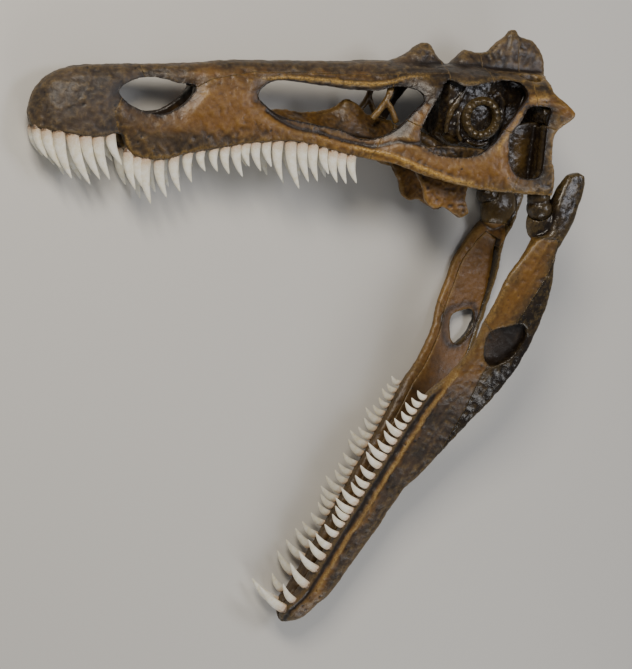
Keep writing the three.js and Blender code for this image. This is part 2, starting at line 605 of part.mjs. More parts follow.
const skull = new THREE.Group();
Object.entries(bones).forEach(([name, solid]) => skull.add(toMesh(name, onFloor(solid))));
skull.applyMatrix4(tilt);
skull.position.set(-MIDDLE.x, -MIDDLE.y, REST.height);

const part = new THREE.Group();
part.add(skull);
export default part;
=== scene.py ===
import math

import bmesh
import bpy
import numpy as np
from mathutils import Matrix, Vector
from mathutils.geometry import tessellate_polygon


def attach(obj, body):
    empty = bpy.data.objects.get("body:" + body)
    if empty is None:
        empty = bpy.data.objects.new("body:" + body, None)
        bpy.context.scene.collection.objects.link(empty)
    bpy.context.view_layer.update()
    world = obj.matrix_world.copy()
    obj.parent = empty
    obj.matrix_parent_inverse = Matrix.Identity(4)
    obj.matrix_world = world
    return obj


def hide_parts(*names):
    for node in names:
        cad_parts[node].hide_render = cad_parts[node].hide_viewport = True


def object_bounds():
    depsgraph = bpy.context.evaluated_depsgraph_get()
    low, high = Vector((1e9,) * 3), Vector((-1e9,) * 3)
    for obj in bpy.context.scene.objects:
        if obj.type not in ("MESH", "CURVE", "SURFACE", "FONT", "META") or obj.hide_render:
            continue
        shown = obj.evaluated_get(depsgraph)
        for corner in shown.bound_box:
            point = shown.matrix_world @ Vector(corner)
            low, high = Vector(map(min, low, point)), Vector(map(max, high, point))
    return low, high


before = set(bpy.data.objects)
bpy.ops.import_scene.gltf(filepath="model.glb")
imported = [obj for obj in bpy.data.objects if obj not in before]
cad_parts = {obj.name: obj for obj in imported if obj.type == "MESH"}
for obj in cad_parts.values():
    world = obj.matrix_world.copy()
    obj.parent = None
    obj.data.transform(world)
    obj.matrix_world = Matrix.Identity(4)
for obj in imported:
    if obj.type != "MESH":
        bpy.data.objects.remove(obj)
cad_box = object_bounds()

# The bones are drawn in the skull's own frame, in millimetres: u runs back, v up the skull, w to its left.
# The jaw has its own frame as well: t runs from its tip to the hinge, h out of the tooth row, w to the left.
MM = 0.001
REST_PITCH = math.radians(-6.37)
REST_ROLL = math.radians(2.66)
REST_PLACE = (41.63, -11.78, 84.0)
JAW_TIP = (-45.0, -585.0)
JAW_ANGLE = math.radians(62.02)
VOXEL = 2.7
FINE_VOXEL = 2.2
SUTURE = 0.5
SIDES = (("left", 1), ("right", -1))

TURN = np.array(Matrix.Rotation(REST_PITCH, 3, "Y") @ Matrix.Rotation(REST_ROLL, 3, "X"))
JAW_TURN = np.array(Matrix.Rotation(JAW_ANGLE, 3, "Z"))


def to_part(points):
    """Skull frame in millimetres to the part's frame in metres"""
    return (np.asarray(points, float) @ TURN.T + REST_PLACE) * MM


def to_skull(points):
    return (np.asarray(points, float) / MM - REST_PLACE) @ TURN


def jaw_to_skull(points):
    return np.asarray(points, float) @ JAW_TURN.T + (JAW_TIP[0], JAW_TIP[1], 0)


def skull_to_jaw(points):
    return (np.asarray(points, float) - (JAW_TIP[0], JAW_TIP[1], 0)) @ JAW_TURN


# Curves

def line(*keys):
    """A smooth curve through a few (place, size) pairs that never overshoots them"""
    places, sizes = np.array(keys, float).T
    rise = np.diff(sizes) / np.diff(places)
    slope = np.concatenate([[rise[0]], np.zeros(len(rise) - 1), [rise[-1]]])
    for i in range(1, len(rise)):
        if rise[i - 1] * rise[i] > 0:
            slope[i] = 2 * rise[i - 1] * rise[i] / (rise[i - 1] + rise[i])

    def at(place):
        x = np.clip(np.asarray(place, float), places[0], places[-1])
        i = np.clip(np.searchsorted(places, x, side="right") - 1, 0, len(rise) - 1)
        span = places[i + 1] - places[i]
        s = (x - places[i]) / span
        bend = (slope[i] * (1 - s) - slope[i + 1] * s) * (1 - s) * s * span
        return sizes[i] + (sizes[i + 1] - sizes[i]) * s * s * (3 - 2 * s) + bend
    return at


def rim(pairs, steps):
    """A smooth closed outline through a few places"""
    p = np.array(pairs, float)
    count = len(p)
    spots = np.linspace(0, count, steps, endpoint=False)
    i = spots.astype(int)
    s = (spots - i)[:, None]
    a, b, c, d = (p[(i + k - 1) % count] for k in range(4))
    return 0.5 * (2 * b + (c - a) * s + (2 * a - 5 * b + 4 * c - d) * s**2 + (3 * b - a - 3 * c + d) * s**3)


def along(pairs, steps):
    """A smooth open path through a few places"""
    p = np.array(pairs, float)
    keys = np.concatenate([[0], np.cumsum(np.linalg.norm(np.diff(p, axis=0), axis=1))])
    spots = np.linspace(0, keys[-1], steps)
    return np.stack([line(*zip(keys, p[:, k]))(spots) for k in range(p.shape[1])], 1)


# The skull's outline and widths along its length

roof_height = line(
    (-600, 421), (-596, 437), (-588, 456), (-572, 476), (-545, 494), (-510, 505), (-470, 509),
    (-390, 513), (-316, 519), (-228, 530), (-118, 536), (0, 542), (100, 549), (200, 550), (480, 545))
margin_height = line(
    (-600, 414), (-596, 398), (-590, 388), (-560, 385), (-480, 378), (-442, 385), (-430, 386),
    (-420, 360), (-406, 346), (-377, 341), (-347, 341), (-320, 350), (-282, 359), (-224, 370),
    (-166, 381), (-107, 386), (-67, 384), (-26, 374), (38, 362), (97, 356), (168, 335), (238, 321),
    (310, 314), (480, 308))
margin_width = line(
    (-600, 5), (-594, 16), (-580, 30), (-550, 42), (-500, 47), (-440, 44), (-380, 47), (-200, 50),
    (-100, 54), (0, 63), (100, 86), (200, 118), (300, 134), (400, 144), (480, 146))
shoulder_width = line(
    (-600, 5), (-590, 14), (-560, 27), (-500, 36), (-400, 36), (-200, 34), (0, 42), (100, 54), (200, 74),
    (300, 92), (400, 100), (480, 100))
shoulder_share = line((-600, 0.6), (-400, 0.62), (100, 0.66), (250, 0.78), (480, 0.8))
wall = line(
    (-600, 60), (-455, 60), (-432, 17), (-300, 17), (-278, 60), (-200, 60), (-176, 18), (60, 17),
    (200, 15), (480, 15))
ARCH_STEPS = 34


def arch(u, inset):
    """One side of the skull's section from the lower margin to the midline, as (w, v), moved in by inset"""
    height = roof_height(u) - margin_height(u)
    side = min(inset, margin_width(u) * 0.86)
    down = min(inset, height * 0.86)
    low = np.array([margin_width(u) - side, margin_height(u)])
    cheek = np.array([low[0], margin_height(u) + (height - down) * shoulder_share(u)])
    shoulder = np.array([shoulder_width(u) * low[0] / margin_width(u), roof_height(u) - down])
    top = np.array([0, roof_height(u) - down])
    s = np.linspace(0, 1, ARCH_STEPS + 1)[:, None]
    return (1 - s)**3 * low + 3 * (1 - s)**2 * s * cheek + 3 * (1 - s) * s * s * shoulder + s**3 * top


def skin_width(u, v):
    """How far the skin stands from the midline at a place in the side view"""
    section = arch(u, 0)
    return float(np.interp(v, section[:, 1], section[:, 0]))


# Meshes

def put(name, data):
    """Puts a new object with its mesh, lamp or camera into the scene"""
    made = bpy.data.objects.new(name, data)
    bpy.context.scene.collection.objects.link(made)
    return made


def make_object(name, verts, faces):
    mesh = bpy.data.meshes.new(name)
    mesh.from_pydata(np.asarray(verts).tolist(), [], faces)
    mesh.update()
    return put(name, mesh)


def skin_faces(total, count, first=0, closed=False):
    """Four-sided faces over rings of equal count; closed joins the last ring to the first one"""
    faces = []
    for r in range(total if closed else total - 1):
        a = first + r * count
        b = first + (r + 1) % total * count
        for i in range(count):
            j = (i + 1) % count
            faces.append((a + i, a + j, b + j, b + i))
    return faces


def outward(mesh):
    """Turns a closed mesh's faces out"""
    bm = bmesh.new()
    bm.from_mesh(mesh)
    bmesh.ops.recalc_face_normals(bm, faces=bm.faces)
    if bm.calc_volume(signed=True) < 0:
        bmesh.ops.reverse_faces(bm, faces=bm.faces)
    bm.to_mesh(mesh)
    bm.free()


def loft(name, rings, flat, place=to_part):
    """A closed skin over rings of equal count; flat is the two axes that an end ring is filled in"""
    rings = np.asarray(rings, float)
    total, count = rings.shape[:2]
    faces = skin_faces(total, count)
    for r in (0, total - 1):
        outline = [Vector((*rings[r][i][list(flat)], 0)) for i in range(count)]
        faces += [tuple(r * count + k for k in tri) for tri in tessellate_polygon([outline])]
    made = make_object(name, place(rings.reshape(-1, 3)), faces)
    outward(made.data)
    return made


def prism(name, outline, low, high, place=to_part):
    """An outline in the side view carried from one width to another"""
    outline = np.asarray(outline, float)
    rings = [np.column_stack([outline, np.full(len(outline), w)]) for w in sorted((low, high))]
    return loft(name, rings, (0, 1), place)


def rod(name, path, radii, sides=16, flatten=1.0, place=to_part):
    """A round bar along a path; flatten is its height over its width"""
    path = np.asarray(path, float)
    radii = np.broadcast_to(radii, len(path))
    ways = np.gradient(path, axis=0)
    ways /= np.linalg.norm(ways, axis=1)[:, None]
    side = np.array([0, 1, 0.0]) if abs(ways[:, 2]).mean() > 0.8 else np.array([0, 0, 1.0])
    angle = np.linspace(0, 2 * np.pi, sides, endpoint=False)
    rings = []
    for p, way, radius in zip(path, ways, radii):
        across = np.cross(way, side)
        across /= np.linalg.norm(across)
        out = np.cross(across, way)
        rings.append(p + radius * (np.cos(angle)[:, None] * across + flatten * np.sin(angle)[:, None] * out))
    flat = np.argsort(np.abs(ways[0]))[:2]
    return loft(name, rings, tuple(sorted(flat)), place)


def ellipsoid(name, middle, radii, place=to_part):
    bm = bmesh.new()
    bmesh.ops.create_icosphere(bm, subdivisions=4, radius=1)
    verts = np.array([v.co for v in bm.verts]) * radii + middle
    faces = [tuple(v.index for v in f.verts) for f in bm.faces]
    bm.free()
    return make_object(name, place(verts), faces)


def shape(made, kind, **settings):
    """Changes an object's mesh by one modifier"""
    step = made.modifiers.new(kind, kind)
    for key, value in settings.items():
        setattr(step, key, value)
    graph = bpy.context.evaluated_depsgraph_get()
    mesh = bpy.data.meshes.new_from_object(made.evaluated_get(graph), depsgraph=graph)
    old = made.data
    made.modifiers.clear()
    made.data = mesh
    bpy.data.meshes.remove(old)
    return made


def remove(made):
    mesh = made.data
    bpy.data.objects.remove(made)
    bpy.data.meshes.remove(mesh)


def carve(made, cutters, operation="DIFFERENCE"):
    """Cuts closed pieces out of an object, or keeps only what lies in them, and removes them"""
    for cutter in cutters:
        shape(made, "BOOLEAN", operation=operation, solver="MANIFOLD", object=cutter)
        remove(cutter)
    return made


def fuse(name, pieces, voxel):
    """Joins closed pieces that overlap into one even skin"""
    bm = bmesh.new()
    for piece in pieces:
        bm.from_mesh(piece.data)
    mesh = bpy.data.meshes.new(name)
    bm.to_mesh(mesh)
    bm.free()
    for piece in pieces:
        remove(piece)
    made = put(name, mesh)
    shape(made, "REMESH", mode="VOXEL", voxel_size=voxel * MM)
    return shape(made, "SMOOTH", factor=0.5, iterations=4)


def coords(mesh, key="co"):
    flat = np.empty(len(mesh.vertices) * 3)
    mesh.vertices.foreach_get(key, flat)
    return flat.reshape(-1, 3)


def normals(mesh):
    return coords(mesh, "normal")


def loose_parts(made):
    """Splits an object into its separate closed skins"""
    bpy.ops.object.select_all(action="DESELECT")
    made.select_set(True)
    bpy.context.view_layer.objects.active = made
    bpy.ops.mesh.separate(type="LOOSE")
    return list(bpy.context.selected_objects)


def part_at(parts, place):
    """The part whose skin comes nearest to a place in the skull's frame"""
    spot = to_part(place)
    return min(parts, key=lambda p: np.linalg.norm(coords(p.data) - spot, axis=1).min())


# Fields over the bones, for relief and colour

def lattice(cell, seed):
    """An even random number in 0 to 1 for each whole-number cell"""
    c = cell.astype(np.int64)
    mixed = c[..., 0] * 374761393 + c[..., 1] * 668265263 + c[..., 2] * 1274126177 + seed * 974711
    mixed = (mixed ^ (mixed >> 13)) & 0xFFFFFFFF
    mixed = (mixed * 1103515245 + 12345) & 0xFFFFFFFF
    mixed = (mixed ^ (mixed >> 16)) & 0xFFFFFFFF
    return mixed / 0xFFFFFFFF


def noise(points, size, seed):
    """Smooth noise in -1 to 1 whose lumps are about size across"""
    p = points / size
    cell = np.floor(p)
    s = p - cell
    s = s * s * (3 - 2 * s)
    total = np.zeros(len(p))
    for corner in range(8):
        step = np.array([corner & 1, corner >> 1 & 1, corner >> 2])
        weight = np.prod(np.where(step, s, 1 - s), axis=1)
        total += weight * lattice(cell + step, seed)
    return 2 * total - 1


def rough(points, size, seed, octaves=3):
    """Noise with finer and fainter noise on it, still in -1 to 1"""
    total = sum(noise(points, size / 2**k, seed + k) / 2**k for k in range(octaves))
    return total / (2 - 0.5**(octaves - 1))


def pits(points, spacing, radius, share, seed):
    """Small round pits scattered in the side view: 1 at a pit's middle, 0 past its rim"""
    flat = points[:, :2] / spacing
    cell = np.floor(flat)
    depth = np.zeros(len(points))
    for du in (-1, 0, 1):
        for dv in (-1, 0, 1):
            near = np.column_stack([cell + (du, dv), np.sign(points[:, 2])])
            spot = cell + (du, dv) + np.stack([lattice(near, seed), lattice(near, seed + 1)], 1)
            size = radius * (0.5 + 0.8 * lattice(near, seed + 2)) * (lattice(near, seed + 3) < share)
            gap = np.linalg.norm(flat - spot, axis=1) * spacing
            depth = np.maximum(depth, np.clip(1 - gap / np.maximum(size, 0.01), 0, 1))
    return depth * depth * (3 - 2 * depth)


def path_distance(points, path, closed=False):
    """The distance in the side view from each point to a path"""
    path = np.asarray(path, float)[:, :2]
    ends = np.roll(path, -1, axis=0) if closed else path[1:]
    starts = path if closed else path[:-1]
    best = np.full(len(points), 1e9)
    for a, b in zip(starts, ends):
        way = b - a
        s = np.clip(((points[:, :2] - a) @ way) / max(way @ way, 1e-9), 0, 1)
        best = np.minimum(best, np.linalg.norm(points[:, :2] - a - s[:, None] * way, axis=1))
    return best


def fade(distance, reach):
    """1 on the spot, falling smoothly to 0 past its reach"""
    return np.exp(-(distance / reach)**2)


def blob(points, u, v, wide, tall):
    """1 at a place in the side view, falling smoothly away from it"""
    return np.exp(-((points[:, 0] - u) / wide)**2 - ((points[:, 1] - v) / tall)**2)


def give(made, name, values):
    """Keeps a field on the mesh for its material to read"""
    layer = made.data.attributes.new(name, "FLOAT", "POINT")
    values = np.clip(values, 0, 1) * np.ones(len(made.data.vertices))
    layer.data.foreach_set("value", values.astype(np.float32))


def shift(made, offsets):
    """Moves each vertex by millimetres in the part's frame"""
    mesh = made.data
    mesh.vertices.foreach_set("co", (coords(mesh) + offsets * MM).ravel())
    mesh.update()


# Cranium shell: an arch of bone open to the palate

NARIS = rim([
    (-438, 461), (-414, 482), (-370, 491), (-325, 484), (-291, 479), (-305, 454), (-338, 430),
    (-370, 425), (-410, 436)], 60)
ANTORBITAL = rim([
    (-169, 472), (-149, 493), (-110, 500), (-40, 494), (50, 490), (105, 502), (145, 497), (158, 480),
    (135, 455), (109, 426), (79, 407), (42, 398), (0, 412), (-60, 421), (-118, 431), (-157, 454)], 90)
ORBIT = rim([
    (208, 521), (186, 492), (167, 463), (150, 425), (150, 400), (168, 385), (193, 377), (233, 376),
    (266, 385), (296, 409), (318, 440), (347, 474), (370, 500), (364, 522), (330, 527), (290, 520),
    (243, 511)], 90)
TEMPORAL = rim([
    (369, 480), (396, 483), (418, 479), (407, 450), (402, 415), (399, 375), (394, 348), (370, 341),
    (347, 345), (330, 366), (325, 392), (328, 424), (343, 442), (356, 462)], 70)
UPPER_TEMPORAL = rim([(370, 58), (382, 48.5), (404, 48.5), (416, 60), (404, 76), (382, 76)], 30)
BACK_EDGE = along([
    (449, 660), (449, 556), (427, 534), (427, 513), (452, 489), (469, 472), (458, 458), (433, 444),
    (420, 430), (416, 404), (417, 381), (424, 345), (424, 320), (416, 290)], 90)
FAR = 260

knob_height = line(
    (100, 545), (125, 556), (150, 569), (165, 581), (177, 589), (190, 587), (204, 571), (220, 555),
    (234, 545))
crest_height = line(
    (236, 546), (252, 561), (272, 580), (300, 576), (320, 581), (340, 599), (357, 612), (366, 627),
    (376, 628), (392, 616), (416, 610), (437, 592), (446, 574), (452, 545))
FENESTRA_RIDGE = [(-160, 500), (-90, 505), (-29, 503), (40, 501), (88, 507), (131, 520), (172, 526)]
JUGAL_RIDGE = [(20, 383), (60, 377), (91, 372), (130, 359), (167, 346), (207, 334), (250, 328)]


def both_sides(u, section, stop=None):
    """A section of (w, v) places at u that ends on the midline, with its mirror image"""
    left = np.column_stack([np.full(len(section), u), section[:, 1], section[:, 0]])
    return np.concatenate([left, left[-2:stop:-1] * (1, 1, -1)])


def shell_ring(u):
    return np.concatenate([both_sides(u, arch(u, 0)), both_sides(u, arch(u, wall(u)))[::-1]])


def crest(name, height, start, end, foot):
    """A blade on the roof between two places; foot is half its width at the roof"""
    rings = []
    for u in np.linspace(start, end, 60):
        base = roof_height(u) - 9
        rise = max(height(u) - base, 3)
        side = np.linspace(0, 1, 9)
        w = foot * side**0.8
        v = base + rise * (1 - side**2.1)
        left = np.column_stack([np.full(9, u), v, w])
        rings.append(np.concatenate([left, left[:0:-1] * (1, 1, -1)]))
    return loft(name, rings, (2, 1))


def ridge(name, pairs, radius, side):
    """A low round ridge on the skin of one side"""
    path = along(pairs, 60)
    w = [side * (skin_width(u, v) - radius * 0.35) for u, v in path]
    path = np.column_stack([path, w])
    taper = np.sin(np.linspace(0.15, np.pi - 0.15, len(path)))**0.5
    return rod(name, path, radius * taper, 12)


def cranium_whole():
    """The shell with its openings, its crests and its ridges as one skin"""
    stations = np.concatenate([np.linspace(-600, -560, 12), np.arange(-554, 480, 6), [480]])
    shell = loft("shell", [shell_ring(u) for u in stations], (2, 1))
    behind = np.concatenate([BACK_EDGE, [(520, 290), (520, 660)]])
    holes = [prism("hole", o, -FAR, FAR) for o in (NARIS, ANTORBITAL, ORBIT, TEMPORAL, behind)]
    for side in (1, -1):
        oval = UPPER_TEMPORAL * (1, side)
        rings = [np.column_stack([oval[:, 0], np.full(len(oval), v), oval[:, 1]]) for v in (480, 600)]
        holes.append(loft("hole", rings, (0, 2)))
    carve(shell, holes)
    extras = [crest("knob", knob_height, 102, 232, 26), crest("crest", crest_height, 238, 446, 24)]
    for side in (1, -1):
        extras.append(ridge("ridge", FENESTRA_RIDGE, 6, side))
        extras.append(ridge("ridge", JUGAL_RIDGE, 6.5, side))
    return fuse("cranium", [shell, *extras], VOXEL)


# Where the bones of the shell meet, in the side view; the parietal starts at PARIETAL_FRONT and lies this far
# to each side of the midline
PARIETAL_FRONT = 303
PARIETAL_HALF = 47
SUTURES = [
    [(-421, 320), (-428, 372), (-441, 400), (-446, 425), (-432, 452), (-425, 462)],
    [(-380, 480), (-392, 500), (-402, 540)],
    [(-302, 470), (-262, 494), (-180, 512), (-60, 517), (50, 520), (110, 526), (150, 530), (214.5, 534)],
    [(84, 420), (72, 392), (56, 366), (54, 310)],
    [(96, 480), (100, 510), (112, 527)],
    [(108, 448), (136, 434), (166, 424)],
    [(214.5, 480), (214.5, 620)],
    [(296, 440), (320, 432), (346, 424)],
    [(392, 466), (386, 500), (384, 600)],
    [(360, 358), (342, 334), (328, 290)],
    [(394, 446), (442, 436)],
    [(PARIETAL_FRONT, 480), (PARIETAL_FRONT, 640)],
]


def cut_along(pairs, low, high, place=to_part):
    """A thin cutter along a line of places in the side view"""
    path = np.array(pairs, float)
    way = np.gradient(path, axis=0)
    way /= np.linalg.norm(way, axis=1)[:, None]
    sideways = np.column_stack([-way[:, 1], way[:, 0]]) * SUTURE / 2
    return prism("cut", np.concatenate([path + sideways, (path - sideways)[::-1]]), low, high, place)


# A place on each bone of the shell
SHELL_BONES = {
    "premaxilla": (-520, 450), "maxilla": (-230, 430), "nasal": (-200, 521), "lacrimal": (167, 480),
    "jugal": (230, 350), "frontal": (260, 528), "postorbital": (335, 448), "squamosal": (440, 474),
    "quadratojugal": (400, 326),
}


def warp(p, size, reach, seed):
    """The same places pushed about a little, so that patches get broken edges"""
    return p + reach * np.stack([rough(p, size, seed), rough(p, size, seed + 9), np.zeros(len(p))], 1)


def facing_out(p, n):
    """1 where the skin faces away from the midline, 0 where it faces up, down or in"""
    return np.clip(np.sign(p[:, 2]) * n[:, 2] * 1.6, 0, 1)


# Each opening's rim: how deep it sinks and how far from the edge
RIMS = ((NARIS, 5, 15), (ANTORBITAL, 7, 16), (ORBIT, 5, 13), (TEMPORAL, 6, 13))


def cranium_relief(made):
    """Moves the skin as the real bone is: sunk rims, pits, furrows and lumps"""
    p = to_skull(coords(made.data))
    n = normals(made.data) @ TURN
    outer = facing_out(p, n)
    lift = 1.6 * rough(p, 46, 3) + 1.1 * rough(p, 15, 11) + 0.7 * rough(p, 7, 17, 2)
    lift += 0.9 * rough(p * (0.2, 1.0, 1.0), 8, 23) * np.clip((p[:, 1] - 430) / 60, 0, 1)
    slant = np.column_stack([p[:, 0] + 1.7 * p[:, 1], p[:, 1] - 0.5 * p[:, 0], p[:, 2]]) * (0.16, 1.0, 1.0)
    lift += 1.2 * rough(slant, 13, 27, 2) * blob(p, -260, 470, 110, 50)
    snout = np.clip((-430 - p[:, 0]) / 60, 0, 1)
    lift += snout * 0.9 * rough(p, 8, 31, 2)
    # The crest's sides are fluted up towards its edge
    top = np.clip((p[:, 1] - 548) / 20, 0, 1)
    fan = np.arctan2(p[:, 1] - 470, p[:, 0] - 350) * 110
    flutes = np.column_stack([fan, p[:, 1] * 0.16, p[:, 2]])
    lift += top * (2.4 * rough(p, 19, 37) + 1.5 * rough(flutes, 8, 39, 2))
    low = np.clip((margin_height(p[:, 0]) + 36 - p[:, 1]) / 30, 0, 1)
    lift += low * 1.5 * rough(p, 10, 41, 2)
    holes = pits(p, 30, 3.0, 0.35, 5) * np.clip((-330 - p[:, 0]) / 60, 0, 1)
    holes = np.maximum(holes, pits(p, 44, 2.6, 0.22, 15))
    above_teeth = fade(p[:, 1] - margin_height(p[:, 0]) - 26, 9) * (p[:, 0] < 40)
    holes = np.maximum(holes, pits(p, 19, 2.8, 0.5, 19) * above_teeth)
    lift -= 2.2 * holes * outer
    sink = sum(depth * fade(path_distance(p, opening, True), reach) for opening, depth, reach in RIMS)
    groove = fade(path_distance(p, along(CHEEK_GROOVE, 30)), 5) * 2.2
    offset = n * (lift - groove * outer)[:, None]
    offset[:, 2] -= np.sign(p[:, 2]) * sink * outer
    shift(made, offset @ TURN.T)
    return holes * outer, outer


# Brushed edges over the eye and behind it, and a furrow along the cheek
BROW = [(222, 524), (246, 517), (290, 526), (330, 533), (368, 528)]
CHEEK_BAR = [(300, 398), (326, 430), (348, 462), (372, 492), (410, 500)]
CHEEK_GROOVE = [(-150, 440), (-100, 414), (-40, 404), (10, 392), (60, 386), (110, 398), (150, 396)]
# Soft patches of gold and of dark wash: place, width, height and strength
GOLD_PATCHES = [
    (-380, 412, 60, 22, 0.5), (-300, 415, 60, 26, 0.6), (-255, 455, 60, 36, 0.95),
    (-200, 470, 70, 34, 0.9), (-180, 418, 110, 26, 0.85), (-40, 392, 120, 18, 0.7),
    (80, 378, 80, 26, 0.7), (190, 356, 80, 26, 1.0), (290, 350, 80, 30, 1.0), (318, 385, 26, 34, 0.9),
    (345, 462, 32, 40, 1.0), (400, 492, 60, 16, 0.8), (455, 478, 24, 14, 0.7), (-250, 505, 60, 14, 0.7),
    (20, 516, 200, 9, 0.6), (-420, 440, 16, 40, 0.3), (146, 434, 28, 30, 0.9), (164, 474, 18, 34, 0.6),
]
DARK_PATCHES = [
    (-420, 440, 34, 40, 0.45), (-360, 412, 70, 18, 0.35), (-300, 372, 110, 16, 0.4),
    (-130, 398, 60, 14, 0.3), (140, 506, 60, 22, 0.5), (182, 492, 20, 24, 0.45), (200, 540, 60, 22, 0.5),
    (290, 545, 80, 26, 0.6), (104, 424, 30, 18, 0.25), (-200, 534, 240, 12, 0.4), (400, 350, 14, 60, 0.3),
]


def cranium_colour(made, holes, outer):
    p = to_skull(coords(made.data))
    bent = warp(p, 40, 16, 51)
    gold = sum(k * blob(bent, *patch) for *patch, k in GOLD_PATCHES)
    gold = gold * (0.85 + 0.4 * rough(p * (0.5, 1, 1), 18, 55)) + 0.12 * rough(p, 12, 57)
    dark = sum(k * blob(bent, *patch) for *patch, k in DARK_PATCHES)
    dark = dark + 0.8 * holes + 0.35 * np.clip(rough(p, 26, 61), 0, 1)
    dark = dark + 0.6 * fade(path_distance(p, along(CHEEK_GROOVE, 30)), 4) * outer
    worn = 0.0
    for pairs, reach in ((FENESTRA_RIDGE, 5), (JUGAL_RIDGE, 5), (BROW, 4), (CHEEK_BAR, 5)):
        worn = worn + fade(path_distance(p, along(pairs, 30)), reach) * outer
    worn = worn + 0.8 * blob(p, -276, 470, 10, 9)
    # Painted shade along the rims of the openings and, darker, on their inner walls below the roof
    for opening, _, reach in RIMS:
        near = path_distance(p, opening, True)
        dark = dark + (0.45 * fade(near, 6) + 0.8 * fade(near, 22) * (1 - outer)) * (p[:, 1] < 540)
    gums = fade(p[:, 1] - margin_height(p[:, 0]), 5) * (p[:, 0] < 45)
    give(made, "gold", gold)
    give(made, "dark", dark + 0.6 * gums)
    give(made, "worn", worn)
    # Painted shade on the inner walls of the shell
    give(made, "inner", inner_shade_share(p))


def inner_shade_share(p):
    """How deep a place lies under the skin of the skull, from 0 on it to 1 at the inner wall, which is how
    much painted shade it gets
    """
    inside = margin_width(p[:, 0]) * 0.86
    reach = np.clip((np.abs(p[:, 2]) - inside * 0.5) / (inside * 0.5), 0, 1)
    return (1 - reach) * (p[:, 1] < roof_height(p[:, 0]) - 26)


def build_cranium():
    whole = cranium_whole()
    cranium_colour(whole, *cranium_relief(whole))
    cutters = [cut_along(s, -FAR, FAR) for s in SUTURES]
    half = SUTURE / 2
    snout = [(-620, 300), (PARIETAL_FRONT, 300), (PARIETAL_FRONT, 700), (-620, 700)]
    cutters.append(prism("cut", snout, -half, half))
    roof = [(PARIETAL_FRONT, 480), (500, 480), (500, 640), (PARIETAL_FRONT, 640)]
    for w in (PARIETAL_HALF, -PARIETAL_HALF):
        cutters.append(prism("cut", roof, w - half, w + half))
    carve(whole, cutters)
    parts = loose_parts(whole)
    bones = {}
    for name, (u, v) in SHELL_BONES.items():
        for side, sign in SIDES:
            bones[f"{name}_{side}"] = part_at(parts, (u, v, sign * max(skin_width(u, v), 8)))
    bones["parietal"] = part_at(parts, (380, 622, 0))
    for part in parts:
        if part not in bones.values():
            remove(part)
    return bones


# Teeth: place of the root, length, and the lean of those that splay, in radians

FRONT_TEETH = [(-583, 58), (-568, 76), (-546, 90), (-522, 100), (-498, 86), (-474, 84), (-451, 62)]
SIDE_TEETH = [
    (-414, 72), (-398, 62), (-382, 86), (-356, 74), (-328, 68), (-301, 56), (-277, 40), (-251, 44),
    (-229, 52), (-208, 62), (-188, 44), (-169, 56), (-148, 50), (-125, 77), (-100, 94), (-76, 78),
    (-54, 72), (-34, 52), (-14, 62), (4, 60), (22, 55)]
LOWER_TEETH = [
    (20, 77, 0.26), (45, 44, 0.49), (86, 62, 0.42), (124, 56), (152, 52), (177, 44), (206, 36), (229, 34),
    (246, 38), (263, 46), (283, 48), (304, 36), (324, 36), (346, 38), (371, 44), (391, 50), (410, 36),
    (429, 35), (448, 44), (466, 30), (484, 26), (502, 30), (520, 24), (538, 23)]
TOOTH_SIDES = 22
TOOTH_FLATNESS = 0.68
TOOTH_RINGS = 26


def tooth_skin(root, length, width, lean, out, sign):
    """Rings of a curved pointed tooth, and how far along the tooth each point lies"""
    tip = math.cos(lean) * out + math.sin(lean) * np.array([1.0, 0, 0])
    share = np.linspace(-0.14, 1, TOOTH_RINGS)
    path = root + np.outer(share, tip) * length
    path[:, 0] -= np.clip(np.sin(np.pi * np.clip(share, 0, 1)), 0, 1) * width * 0.27
    radius = width * 0.5 * np.clip(1 - np.clip(share, 0, 1)**1.7, 0, 1)**0.78 + 0.35
    radius *= np.clip(1 + 5 * share, 0.3, 1)
    angle = np.linspace(0, 2 * np.pi, TOOTH_SIDES, endpoint=False)
    across = np.cross(tip, (0, 0, 1.0))
    ring = np.cos(angle)[:, None] * across + TOOTH_FLATNESS * np.sin(angle)[:, None] * np.array([0, 0, sign])
    flutes = 1 + 0.016 * np.cos(7 * angle)
    rings = path[:, None, :] + radius[:, None, None] * (ring * flutes[:, None])[None]
    return rings, share


def teeth(name, skins, place):
    """All of one bone's teeth as one piece"""
    verts, faces, shares = [], [], []
    for rings, share in skins:
        first = len(shares)
        total, count = rings.shape[:2]
        verts.append(place(rings.reshape(-1, 3)))
        shares += list(np.repeat(share, count))
        faces += skin_faces(total, count, first)
        faces += [tuple(first + r * count + i for i in range(count)) for r in (0, total - 1)]
    made = make_object(name, np.concatenate(verts), faces)
    outward(made.data)
    give(made, "along", np.clip(np.array(shares), 0, 1))
    return made


def upper_tooth(u, length, index, lean, sign):
    width = 14 + length * 0.1
    inset = min(width * 0.42, margin_width(u) * 0.4)
    root = np.array([u, margin_height(u) + 2, sign * (margin_width(u) - inset)], float)
    wobble = 0.05 * math.sin(index * 2.3)
    return tooth_skin(root, length + 1.5, width, lean + wobble, np.array([0, -1.0, 0]), sign)


def lower_tooth(t, length, index, splay, sign):
    width = 11 + length * 0.12
    inset = min(width * 0.5, outer_width(t) * 0.4)
    root = np.array([t, tooth_line(t) - 2, sign * (outer_width(t) - inset)], float)
    lean = splay if splay else 0.22 + 0.32 * math.exp(-t / 110) + 0.06 * math.sin(index * 1.9)
    return tooth_skin(root, length + 1.5, width, lean, np.array([0, 1.0, 0]), sign)


# Inner bones of the skull

def inside_loft():
    """The room inside the shell and below it, which the inner bones are trimmed to"""
    rings = []
    for u in np.append(np.arange(-176, 480, 12), 480):
        inner = arch(u, wall(u) + 1.2)
        side = np.concatenate([[(inner[0, 0], margin_height(u) - 130)], inner])
        rings.append(both_sides(u, side))
    return loft("inside", rings, (2, 1))


